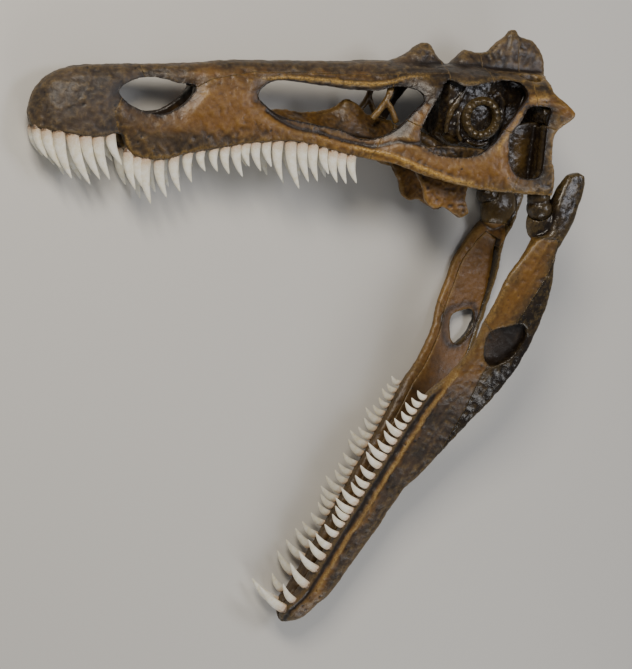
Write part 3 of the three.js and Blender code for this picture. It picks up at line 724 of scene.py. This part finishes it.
core_width = line((212, 34), (225, 52), (290, 60), (330, 50), (345, 44), (400, 42), (440, 46))
core_floor = line((212, 410), (240, 392), (330, 384), (440, 388))


# Rods and ridges on the braincase's wall: their path, how far out they stand, and their radius
RIBS = [
    ([(258, 512), (247, 492), (233, 470), (224, 446), (222, 416)], 53, 7.0),
    ([(250, 470), (244, 446), (246, 420), (256, 402)], 55, 5.0),
    ([(330, 505), (346, 478), (344, 448), (330, 420)], 46, 6.0),
    ([(268, 402), (290, 398), (316, 404)], 53, 6.0),
]


def braincase():
    rings = []
    for u in np.linspace(212, 422, 40):
        w, low = core_width(u), core_floor(u)
        side = along([(0, low - 3), (w * 0.55, low), (w * 0.94, low + 22), (w, 452), (w * 0.95, 520),
                      (w * 0.7, 560), (0, 562)], 26)
        rings.append(both_sides(u, side, 0))
    pieces = [loft("core", rings, (2, 1)), ellipsoid("condyle", (424, 432, 0), (24, 17, 19))]
    for s in (1, -1):
        path = along([(404, 474, 20 * s), (408, 472, 70 * s), (420, 466, 104 * s)], 16)
        pieces.append(rod("wing", path, np.linspace(19.5, 12.5, 16), 24, 1.68))
    for s in (1, -1):
        for pairs, w, radius in RIBS:
            path = along([(u, v, min(w, core_width(u) - 1) * s) for u, v in pairs], 24)
            pieces.append(rod("rib", path, radius * np.sin(np.linspace(0.3, np.pi - 0.3, 24))**0.5, 12))
    return carve(fuse("braincase", pieces, FINE_VOXEL), [inside_loft()], "INTERSECT")


RING = {"u": 293, "v": 450, "inner": 25, "outer": 43, "plates": 16, "low": 55, "high": 71}


def sclerotic_ring(name, sign):
    """Flat bony ring of small bead-like plates set on the wall inside the eye opening"""
    steps = RING["plates"] * 14
    turn = np.linspace(0, 2 * np.pi, steps, endpoint=False)
    bead = 0.5 + 0.5 * np.cos(RING["plates"] * turn)
    inner, outer, low, high = (RING[k] for k in ("inner", "outer", "low", "high"))
    rings = []
    for a, lump in zip(turn, bead):
        profile = along([(inner, low), (inner + 1, high - 7), (inner + 5, high - 4 + 3 * lump),
                         (inner + 10, high - 3 + 3 * lump), (outer - 3, high - 6 + 1.5 * lump),
                         (outer, low + 6), (outer, low)], 20)
        ring = [(RING["u"] + r * math.cos(a), RING["v"] + r * math.sin(a), sign * w) for r, w in profile]
        rings.append(ring)
    rings = np.array(rings)
    faces = skin_faces(steps, rings.shape[1], closed=True)
    made = make_object(name, to_part(rings.reshape(-1, 3)), faces)
    outward(made.data)
    return made


palate_top = line(
    (-168, 428), (-110, 445), (-65, 441), (-24, 446), (7, 458), (24, 472), (46, 465), (72, 444),
    (127, 433))


def palatine(name, s):
    """The shelf beside the midline, with the forked strut that stands on it"""
    rings = []
    for u in np.linspace(-166, 126, 50):
        top, low = palate_top(u), margin_height(u) + 14
        ring = [(u, top, 0.5 * s), (u, top - 6, 9 * s), (u, low + 24, 34 * s), (u, low + 16, 200 * s),
                (u, low, 200 * s), (u, low + 2, 0.5 * s)]
        rings.append(ring)
    body = carve(loft("palatine", rings, (2, 1)), [inside_loft()], "INTERSECT")
    stem = along([(98, 500, 46 * s), (94, 482, 46 * s), (80, 456, 44 * s), (64, 436, 42 * s)], 24)
    branch = along([(92, 472, 46 * s), (102, 456, 48 * s), (114, 432, 50 * s)], 20)
    pieces = [body, rod("strut", stem, 6.6), rod("strut", branch, 6.2)]
    return carve(fuse(name, pieces, FINE_VOXEL), [inside_loft()], "INTERSECT")


PTERYGOID_FLANGE = [
    (138, 388), (146, 362), (161, 335), (173, 316), (179, 306), (188, 280), (206, 269), (221, 272),
    (237, 265), (250, 258), (264, 252), (276, 255), (283, 262), (278, 273), (274, 287), (274, 305),
    (282, 350), (300, 388)]


def pterygoid(name, s):
    bar = rod("bar", along([(131, 415, 17 * s), (180, 402, 30 * s), (240, 372, 46 * s), (300, 362, 56 * s),
                            (352, 368, 58 * s)], 40), 12.5, 20)
    flange = prism("flange", rim(PTERYGOID_FLANGE, 120), 53 * s, 65 * s)
    return fuse(name, [bar, flange], FINE_VOXEL)


def ectopterygoid(name, s):
    path = along([(168, 370, 66.9 * s), (168, 370, 112 * s), (176, 366, 150 * s)], 30)
    body = rod("bar", path, np.concatenate([np.linspace(18, 12.5, 15), np.linspace(12.5, 14, 15)]), 24)
    return carve(body, [inside_loft()], "INTERSECT")


# The jaw joint's middle, and the head's radii there; the socket is wider by the gap
JOINT = (413, 280, 112)
HEAD = np.array([25.4, 23.4, 27.4])
JOINT_GAP = 1.4
QUADRATE_WING = [
    (328, 384), (336, 348), (362, 332), (400, 320), (438, 315), (451, 325), (446, 352), (440, 400),
    (434, 442), (404, 448), (368, 444), (338, 418)]


def quadrate(name, s):
    path = along([(410, 284, 111 * s), (411, 322, 110 * s), (413, 360, 110 * s), (412, 446, 112 * s)], 34)
    radii = np.interp(np.linspace(0, 1, 34), (0, 0.12, 0.24, 0.45, 1), (20, 24, 20, 13.6, 12.6))
    shaft = rod("shaft", path, radii, 24)
    wing = prism("wing", rim(QUADRATE_WING, 80), 73 * s, 83 * s)
    web = prism("web", [(397, 336), (431, 340), (433, 438), (401, 442)], 80 * s, 104 * s)
    head = ellipsoid("head", (JOINT[0], JOINT[1], JOINT[2] * s), HEAD)
    return fuse(name, [shaft, wing, web, head], FINE_VOXEL)


# Lower jaw

tooth_line = line(
    (-9, -20), (4, -5), (24, 0), (60, -8), (130, -11), (300, -12), (545, -15), (601, -27), (666, -31),
    (727, -19), (778, -13), (834, -5), (867, -9), (921, -16), (949, -32), (976, -26), (1000, -14),
    (1031, -10), (1066, -14), (1084, -34))
lower_edge = line(
    (-9, -24), (1, -36), (25, -52), (60, -61), (99, -75), (180, -82), (257, -89), (347, -92), (401, -110),
    (466, -124), (537, -139), (606, -148), (663, -148), (724, -142), (774, -133), (826, -120),
    (866, -105), (902, -86), (929, -75), (989, -76), (1031, -69), (1068, -60), (1084, -48))
outer_width = line(
    (-9, 6), (4, 20), (20, 32), (50, 42), (90, 47), (180, 46), (300, 52), (450, 61), (540, 72), (620, 94),
    (700, 116), (780, 130), (870, 137), (940, 141), (1000, 138), (1050, 130), (1084, 122))
inner_width = line(
    (-9, 0.3), (95, 0.3), (130, 8), (200, 16), (300, 22), (450, 31), (540, 43), (620, 68), (700, 92),
    (780, 106), (870, 112), (940, 96), (1000, 94), (1084, 106))
flare = line((640, 0), (760, 10), (880, 24), (940, 24), (985, 8), (1030, 0))
JAW_FENESTRA = rim([
    (716, -42), (745, -66), (764, -96), (744, -116), (706, -117), (672, -103), (660, -82),
    (680, -56)], 60)
INNER_FENESTRA = rim([
    (716, -62), (740, -80), (752, -102), (728, -120), (696, -118), (674, -104), (676, -82)], 50)
JAW_SUTURES = [
    [(736, 10), (731, -18), (722, -38), (706, -62)],
    [(748, -84), (770, -77), (815, -77), (874, -78), (912, -72), (946, -56)],
    [(676, -84), (640, -84), (560, -104), (470, -114), (420, -135)],
    [(900, 40), (912, 6), (928, -24), (944, -58), (934, -100)],
]
JAW_BONES = {
    "dentary": (350, -60), "surangular": (840, -45), "angular": (700, -130), "articular": (1010, -45),
}
JAW_RING = 48
JAW_STATIONS = [-8.6, -8, -6.5, -4, -1, 2, 6, 11, 17, 24, *range(32, 1070, 7), 1074, 1080, 1083]


def jaw_place(points):
    return to_part(jaw_to_skull(points))


def jaw_ring(t, s):
    """A rounded-off oblong section of one branch, drawn in along its lower inner edge"""
    middle = (tooth_line(t) + lower_edge(t)) / 2
    across = (outer_width(t) + inner_width(t)) / 2
    tall = (tooth_line(t) - lower_edge(t)) / 2
    wide = (outer_width(t) - inner_width(t)) / 2
    angle = np.linspace(0, 2 * np.pi, JAW_RING, endpoint=False)
    c, n = np.cos(angle), np.sin(angle)
    soft = 0.62
    under = np.clip(-n, 0, 1) * np.clip(-c, 0, 1) * 2 * flare(t)
    h = middle + tall * np.sign(n) * np.abs(n)**soft * 0.955
    w = across + wide * np.sign(c) * np.abs(c)**soft * 0.955 - under
    return np.column_stack([np.full(JAW_RING, t), h, s * w])


def inner_sheet(grow, s):
    """The thin sheet on the inner face of a branch; grow makes it a cutter with room round the sheet"""
    rings = []
    for t in np.linspace(150 - grow, 910 + grow, 60):
        high, low = tooth_line(t) - 20 + grow, lower_edge(t) + 16 - grow
        near = inner_width(t) - (40 if grow > 0 else -0.8)
        deep = inner_width(t) + 7 + grow
        rings.append([(t, high, s * near), (t, low, s * near), (t, low, s * deep), (t, high, s * deep)])
    return loft("sheet", rings, (2, 1), jaw_place)


# The raised line along the outer face below the teeth
STRIPE = [(90, -36), (150, -36), (230, -37), (320, -37), (410, -38), (490, -39), (560, -40), (610, -40)]


def build_jaw(side, s):
    branch = loft("branch", [jaw_ring(t, s) for t in JAW_STATIONS], (2, 1), jaw_place)
    path = along([(t, h, s * (outer_width(t) - 2.4)) for t, h in STRIPE], 90)
    stripe = rod("stripe", path, 5.4 * np.sin(np.linspace(0.1, np.pi - 0.1, 90))**0.4, 14, 1.0, jaw_place)
    carve(branch, [prism("hole", JAW_FENESTRA, 0, s * FAR, jaw_place)])
    socket = ellipsoid("socket", (966, -30, s * 102), (45.5, 39.5, 24.5), jaw_place)
    whole = fuse(f"jaw_{side}", [branch, stripe, socket], VOXEL)
    jaw_relief(whole)
    hinge = ellipsoid("hinge", (JOINT[0], JOINT[1], s * JOINT[2]), HEAD + JOINT_GAP)
    cuts = [cut_along(suture, 0, s * FAR, jaw_place) for suture in JAW_SUTURES]
    shaft = rod("shaft", along([(409, 296, 110 * s), (411, 322, 110 * s), (413, 360, 110 * s)], 20),
                np.linspace(27, 16, 20), 24)
    carve(whole, [inner_sheet(0.5, s), hinge, shaft, *cuts])
    parts = loose_parts(whole)
    bones = {}
    for name, (t, h) in JAW_BONES.items():
        spot = jaw_to_skull([(t, h, s * outer_width(t))])[0]
        bones[f"{name}_{side}"] = part_at(parts, spot)
    for part in parts:
        if part not in bones.values():
            remove(part)
    sheet = inner_sheet(0, s)
    if s < 0:
        carve(sheet, [prism("hole", INNER_FENESTRA, 0, s * FAR, jaw_place)])
    sheet = fuse(f"splenial_{side}", [sheet], FINE_VOXEL)
    # The sheet gets painted shade where it lies behind the jaw's window
    jaw_relief(sheet, strength=0.5, shade=1.1)
    bones[f"splenial_{side}"] = sheet
    return bones


def jaw_relief(made, strength=1.0, shade=0.0):
    """Relief and colour of the jaw's bones; shade is how strong the painted shade is on the sheet behind the
    jaw's window
    """
    p = skull_to_jaw(to_skull(coords(made.data)))
    n = normals(made.data) @ TURN
    outer = facing_out(p, n)
    lift = 1.3 * rough(p, 42, 71) + 1.0 * rough(p, 14, 75) + 0.7 * rough(p, 7, 79, 2)
    lift += 0.8 * rough(p * (0.2, 1, 1), 8, 83)
    below = tooth_line(p[:, 0]) - p[:, 1]
    toothed = np.clip((580 - p[:, 0]) / 40, 0, 1)
    furrow = fade(below - 13, 5) * toothed
    lift -= 2.6 * furrow * outer
    holes = pits(p, 20, 2.8, 0.55, 91) * np.clip(fade(below - 34, 14) * toothed + 0.3, 0, 1)
    lift -= 2.4 * holes * outer
    lower = np.clip((below - 62) / 30, 0, 1)
    lift += lower * 1.4 * rough(p, 11, 87)
    shift(made, strength * (n * lift[:, None]) @ TURN.T)
    bent = warp(p, 36, 12, 93)
    stripe = path_distance(bent, along(STRIPE, 40))
    gold = 0.9 * fade(stripe, 9) + 0.9 * blob(bent, 820, -42, 140, 26) + 0.8 * blob(bent, 640, -70, 70, 34)
    gold = gold + 0.5 * blob(bent, 60, -30, 60, 26) + 0.2 * rough(p, 22, 95)
    inner = np.clip(-np.sign(p[:, 2]) * n[:, 2] * 1.4, 0, 1)
    back = np.clip((p[:, 0] - 560) / 80, 0, 1)
    gold = gold * (1 - inner) + inner * (0.5 + 0.4 * back + 0.3 * rough(p, 28, 96))
    dark = 0.85 * holes + 0.9 * furrow * outer
    dark = dark + 0.55 * lower * toothed * outer * (0.6 + 0.8 * rough(bent, 30, 98))
    dark = dark + 0.95 * blob(bent, 700, -134, 150, 15) * outer + 0.7 * blob(bent, 985, -20, 44, 34)
    # Painted shade round the rim of the jaw's window, with random darker mottling
    dark = dark + 0.6 * fade(path_distance(p, JAW_FENESTRA, True), 7) + 0.3 * np.clip(rough(p, 24, 97), 0, 1)
    for suture in JAW_SUTURES:
        dark = dark + 0.7 * fade(path_distance(p, suture), 2.4) * outer
    dark = dark + 0.5 * fade(below, 6) * toothed + 0.4 * inner * toothed
    # Painted shade on the outer face of the sheet behind the jaw's window, and patchy painted shade on its
    # inner face, darkest round the inner window
    dark = dark + shade * outer * blob(p, 706, -86, 66, 46)
    patchy_shade = 0.6 * np.clip(rough(bent, 34, 99), 0, 1)
    patchy_shade += 0.5 * fade(path_distance(bent, INNER_FENESTRA, True), 15)
    dark = dark + 0.8 * shade * inner * patchy_shade
    give(made, "gold", gold)
    give(made, "dark", dark)
    give(made, "worn", 0.9 * fade(stripe, 4.0) * outer)
    give(made, "inner", 0)


def inner_relief(made, strength, gold, dark, patches):
    """Relief and colour of the dark bones inside the skull; patches are brown places in the side view"""
    p = to_skull(coords(made.data))
    n = normals(made.data) @ TURN
    lift = 1.4 * rough(p, 30, 101) + 1.2 * rough(p, 11, 105) + 0.8 * rough(p, 5.5, 109, 2)
    shift(made, strength * (n * lift[:, None]) @ TURN.T)
    brown = sum((k * blob(warp(p, 24, 7, 111), *patch) for *patch, k in patches), np.zeros(len(p)))
    give(made, "gold", gold + brown + 0.35 * rough(p, 24, 113))
    give(made, "dark", (dark + 0.3 * rough(p, 18, 117)) * (1 - np.clip(brown, 0, 0.9)))
    give(made, "worn", 0)
    give(made, "inner", 0)


# How far a place stands out from the smoothed skin, in millimetres, where its wear is full
WEAR_DEPTH = 0.9


def edge_wear(made):
    """Marks raised places and hollows, as a dry brush and a wash would"""
    mesh = made.data
    p = coords(mesh)
    ends = np.empty(len(mesh.edges) * 2, dtype=np.int64)
    mesh.edges.foreach_get("vertices", ends)
    a, b = ends.reshape(-1, 2).T
    count = np.maximum(np.bincount(a, minlength=len(p)) + np.bincount(b, minlength=len(p)), 1)
    smooth = p.copy()
    for _ in range(14):
        total = np.zeros_like(smooth)
        for axis in range(3):
            for one, other in ((a, b), (b, a)):
                total[:, axis] += np.bincount(one, smooth[other, axis], len(p))
        smooth = 0.4 * smooth + 0.6 * total / count[:, None]
    rise = np.einsum("ij,ij->i", p - smooth, normals(mesh)) / MM
    give(made, "raised", rise / WEAR_DEPTH)
    give(made, "hollow", -rise / WEAR_DEPTH)


# Materials

def colour(text):
    """An sRGB hex colour as linear light"""
    parts = [int(text[i:i + 2], 16) / 255 for i in (1, 3, 5)]
    return tuple(c / 12.92 if c <= 0.04045 else ((c + 0.055) / 1.055)**2.4 for c in parts) + (1.0,)


def node(tree, kind, inputs=None, output=0, **settings):
    """Adds a node and gives one of its outputs; inputs go by name or place, as values or other outputs"""
    made = tree.nodes.new("ShaderNode" + kind)
    for key, value in settings.items():
        setattr(made, key, value)
    for key, value in (inputs or {}).items():
        if isinstance(value, bpy.types.NodeSocket):
            tree.links.new(value, made.inputs[key])
        else:
            made.inputs[key].default_value = value
    return made.outputs[output] if made.outputs else None


def new_material(name):
    made = bpy.data.materials.new(name)
    made.use_nodes = True
    made.node_tree.nodes.clear()
    return made, made.node_tree


def painted(tree, base, coats):
    """A base colour under its coats; each coat has where it lies, how thick it is and its colour"""
    paint = colour(base)
    for cover, thick, coat in coats:
        share = node(tree, "Math", {0: cover, 1: thick}, operation="MULTIPLY")
        paint = node(tree, "Mix", {0: share, 6: paint, 7: colour(coat)}, 2, data_type="RGBA")
    return paint


# Sizes of the lumps in the bone's paint and skin in millimetres, with their detail and roughness. The last
# stands for the pores, which are finer on real bone and are drawn this coarse so that they show.
BONE_LUMPS = [(38, 4.0, 0.55), (11, 5.0, 0.62), (3.2, 4.0, 0.6), (1.1, 3.0, 0.55)]
BONE_FIELDS = ("gold", "dark", "worn", "inner", "raised", "hollow")
ENAMEL_LUMPS = [(9, 4.0, 0.55), (2.6, 4.0, 0.55)]


def bone_finish(name, ground, deep, gold, pale, gloss):
    """Painted, varnished cast bone: a mottled ground, golden patches, dark hollows and dry-brushed edges"""
    made, tree = new_material(name)
    place = node(tree, "TexCoord", None, "Object")
    broad, mid, fine, grain = (
        node(tree, "TexNoise", {"Vector": place, "Scale": 1 / (size * MM), "Detail": detail,
                                "Roughness": harsh})
        for size, detail, harsh in BONE_LUMPS)
    gilt, dark, worn, inner, raised, hollow = (
        node(tree, "Attribute", None, "Fac", attribute_name=field) for field in BONE_FIELDS)
    # Mottling of two ground tones, some centimetres wide
    tone = node(tree, "MapRange", {0: broad, 1: 0.38, 2: 0.62})
    # Golden patches with broken edges
    edge = node(tree, "Math", {0: mid, 1: 0.75, 2: -0.375}, operation="MULTIPLY_ADD")
    gilt = node(tree, "Math", {0: gilt, 1: edge}, operation="ADD")
    gilt = node(tree, "MapRange", {0: gilt, 1: 0.12, 2: 0.85})
    # Small dark specks
    specks = node(tree, "MapRange", {0: fine, 1: 0.52, 2: 0.72})
    # Dark wash in the hollows and pits, with the painted shade of the openings' rims and walls and of the
    # sheet behind the jaw's window
    wash_and_shade = node(tree, "Math", {0: hollow, 1: 0.8, 2: dark}, operation="MULTIPLY_ADD")
    wash_and_shade = node(tree, "Math", {0: edge, 1: 0.5, 2: wash_and_shade}, operation="MULTIPLY_ADD")
    wash_and_shade = node(tree, "MapRange", {0: wash_and_shade, 1: 0.12, 2: 1.0})
    # Pale dry brush on what stands proud, broken up and kept off the wash and the painted shade
    brush = node(tree, "Math", {0: raised, 1: 0.55}, operation="MULTIPLY")
    brush = node(tree, "Math", {0: worn, 1: 0.75, 2: brush}, operation="MULTIPLY_ADD")
    broken = node(tree, "MapRange", {0: fine, 1: 0.3, 2: 0.62})
    bare = node(tree, "Math", {0: 1.0, 1: wash_and_shade}, operation="SUBTRACT")
    for part in (broken, bare):
        brush = node(tree, "Math", {0: brush, 1: part}, operation="MULTIPLY")
    # Painted shade on the inner walls, darker than the skin
    paint = painted(tree, deep, [(tone, 1.0, ground), (gilt, 1.0, gold), (specks, 0.35, "#241a12"),
                                 (wash_and_shade, 0.9, "#1a130e"), (inner, 0.7, "#1f1710"), (brush, 0.75, pale)])
    # A skin of low lumps and pores that breaks up the varnish's shine
    height = node(tree, "Math", {0: mid, 1: 0.9}, operation="MULTIPLY")
    height = node(tree, "Math", {0: fine, 1: 0.5, 2: height}, operation="MULTIPLY_ADD")
    height = node(tree, "Math", {0: grain, 1: 0.16, 2: height}, operation="MULTIPLY_ADD")
    relief = node(tree, "Bump", {"Strength": 0.75, "Distance": 1.1 * MM, "Height": height})
    shine = node(tree, "Math", {0: mid, 1: 0.3, 2: gloss - 0.15}, operation="MULTIPLY_ADD")
    shader = node(tree, "BsdfPrincipled", {"Base Color": paint, "Roughness": shine, "Normal": relief})
    node(tree, "OutputMaterial", {"Surface": shader})
    return made


def tooth_finish():
    """Ivory enamel, stained tan down its length and dark red-brown at the gum"""
    made, tree = new_material("stained ivory enamel")
    place = node(tree, "TexCoord", None, "Object")
    patchy_shade, streak = (
        node(tree, "TexNoise", {"Vector": place, "Scale": 1 / (size * MM), "Detail": detail,
                                "Roughness": harsh})
        for size, detail, harsh in ENAMEL_LUMPS)
    share = node(tree, "Attribute", None, "Fac", attribute_name="along")
    # Faint cream clouds on the white
    clouds = node(tree, "MapRange", {0: patchy_shade, 1: 0.4, 2: 0.7})
    # The stain fades out a third of the way down, and the gum's line is narrow
    stain = node(tree, "Math", {0: streak, 1: 0.3, 2: share}, operation="MULTIPLY_ADD")
    stain = node(tree, "MapRange", {0: stain, 1: 0.45, 2: 0.12})
    gum = node(tree, "Math", {0: streak, 1: 0.1, 2: share}, operation="MULTIPLY_ADD")
    gum = node(tree, "MapRange", {0: gum, 1: 0.09, 2: 0.04})
    paint = painted(tree, "#f8f4e6", [(clouds, 1.0, "#ebe2c4"), (stain, 0.75, "#b9854a"),
                                      (gum, 0.9, "#3f2717")])
    relief = node(tree, "Bump", {"Strength": 0.3, "Distance": 0.4 * MM, "Height": streak})
    shader = node(tree, "BsdfPrincipled", {"Base Color": paint, "Roughness": 0.3, "Normal": relief})
    node(tree, "OutputMaterial", {"Surface": shader})
    return made


def plain(name, text, roughness):
    """One even colour"""
    made, tree = new_material(name)
    shader = node(tree, "BsdfPrincipled", {"Base Color": colour(text), "Roughness": roughness})
    node(tree, "OutputMaterial", {"Surface": shader})
    return made


# Each bone finish: its name, two ground tones, gold, dry brush, and how rough the varnish is
BONE_FINISHES = {
    "bone_snout": ("varnished cast bone, grey brown", "#453729", "#2f261e", "#674617", "#9a8050", 0.46),
    "bone_gold": ("varnished cast bone, golden brown", "#4c3a22", "#33281a", "#6f4b18", "#bb954c", 0.36),
    "bone_roof": ("varnished cast bone, umber", "#47382a", "#2f261d", "#6d4a1b", "#a88b52", 0.38),
    "bone_dark": ("glossy cast bone, near black", "#2b2219", "#19140f", "#54401f", "#8f7848", 0.22),
}
FINISHES = {slot: bone_finish(*look) for slot, look in BONE_FINISHES.items()}
FINISHES["tooth_ivory"] = tooth_finish()
WEARERS = {
    "bone_snout": ["premaxilla"],
    "bone_gold": ["maxilla", "lacrimal", "jugal", "postorbital", "squamosal", "quadratojugal", "palatine",
                  "pterygoid", "ectopterygoid", "surangular"],
    "bone_roof": ["nasal", "frontal", "parietal", "dentary", "splenial"],
    "bone_dark": ["braincase", "sclerotic", "quadrate", "angular", "articular"],
    "tooth_ivory": ["teeth"],
}
SLOT_OF = {kind: slot for slot, kinds in WEARERS.items() for kind in kinds}


def keep_inside(made):
    """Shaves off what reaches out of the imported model's box, so that the bones lie flat on the floor"""
    p = coords(made.data)
    low, high = (np.array(corner) for corner in cad_box)
    made.data.vertices.foreach_set("co", np.clip(p, low, high).ravel())
    made.data.update()


def settle_piece(made, name):
    """Names a piece, gives it its finish and lets it ride on the part's only body"""
    made.name = name
    made.data.name = name
    keep_inside(made)
    slot = SLOT_OF[name.split("_")[0]]
    made.data.materials.clear()
    made.data.materials.append(FINISHES[slot])
    made.data.shade_smooth()
    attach(made, "root")


# The inner bones: how they are made, the strength of their relief, and how golden and how dark they are
INNER_BONES = {
    "palatine": (palatine, 0.8, 0.32, 0.3, ()),
    "pterygoid": (pterygoid, 1.5, 0.15, 0.62, [(226, 296, 74, 46, 1.0)]),
    "ectopterygoid": (ectopterygoid, 0.8, 0.4, 0.2, ()),
    "quadrate": (quadrate, 0.8, 0.2, 0.6, [(374, 384, 20, 36, 0.9), (415, 318, 26, 24, 0.5)]),
    "sclerotic_ring": (sclerotic_ring, 0.3, 0.3, 0.42, ()),
}

bones = build_cranium()
for side, s in SIDES:
    bones.update(build_jaw(side, s))
    for kind, (maker, *look) in INNER_BONES.items():
        bones[f"{kind}_{side}"] = maker(f"{kind}_{side}", s)
        inner_relief(bones[f"{kind}_{side}"], *look)
bones["braincase"] = braincase()
inner_relief(bones["braincase"], 1.2, 0.15, 0.7, [(228, 450, 12, 44, 0.4), (240, 400, 20, 14, 0.3)])

for name, made in bones.items():
    edge_wear(made)
    settle_piece(made, name)
    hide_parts(name)

for side, s in SIDES:
    front = [upper_tooth(u, length, i, 0.36, s) for i, (u, length) in enumerate(FRONT_TEETH)]
    cheek = [upper_tooth(u, length, i, 0.22, s) for i, (u, length) in enumerate(SIDE_TEETH)]
    lower = [lower_tooth(t, length, i, splay[0] if splay else None, s)
             for i, (t, length, *splay) in enumerate(LOWER_TEETH)]
    settle_piece(teeth("teeth", front, to_part), f"teeth_premaxilla_{side}")
    settle_piece(teeth("teeth", cheek, to_part), f"teeth_maxilla_{side}")
    settle_piece(teeth("teeth", lower, jaw_place), f"teeth_dentary_{side}")

# Floor, light and camera

bpy.ops.mesh.primitive_plane_add(size=14, location=(0, 0, 0))
floor = bpy.context.object
floor.name = "floor"
floor.data.materials.append(plain("pale studio floor", "#d9d6cf", 0.8))


def lamp(name, place, target, size, power, text="#ffffff"):
    data = bpy.data.lights.new(name, "AREA")
    data.energy = power
    data.size = size
    data.color = colour(text)[:3]
    made = put(name, data)
    made.location = place
    made.rotation_euler = (Vector(target) - Vector(place)).to_track_quat("-Z", "Y").to_euler()


lamp("key", (-1.4, 2.0, 2.5), (0, 0.1, 0.1), 1.0, 78, "#fff6e8")
lamp("fill", (1.6, 0.9, 2.8), (0.2, 0, 0.1), 0.9, 26, "#f4f6ff")
lamp("low", (0.6, -2.4, 1.6), (0, 0, 0.1), 1.1, 20)

world = bpy.data.worlds.new("studio")
world.use_nodes = True
sky = world.node_tree.nodes["Background"]
sky.inputs["Color"].default_value = colour("#c9ccd2")
sky.inputs["Strength"].default_value = 0.28
bpy.context.scene.world = world

# The photograph's view, in the skull's frame
VIEW_WAY = np.array([0.36772402, -0.190809, -0.91014888])
VIEW_RIGHT = np.array([0.92993497, 0.07545157, 0.3599])
VIEW_UP = np.cross(VIEW_RIGHT, VIEW_WAY)
VIEW_DISTANCE = 3300
LENS = 88.79
SENSOR = 36
camera = put("camera", bpy.data.cameras.new("camera"))
camera.data.lens = LENS
camera.data.sensor_width = SENSOR
turned = Matrix(np.column_stack([TURN @ VIEW_RIGHT, TURN @ VIEW_UP, -(TURN @ VIEW_WAY)]).tolist())
camera.matrix_world = Matrix.Translation(to_part(-VIEW_DISTANCE * VIEW_WAY)) @ turned.to_4x4()
bpy.context.scene.camera = camera
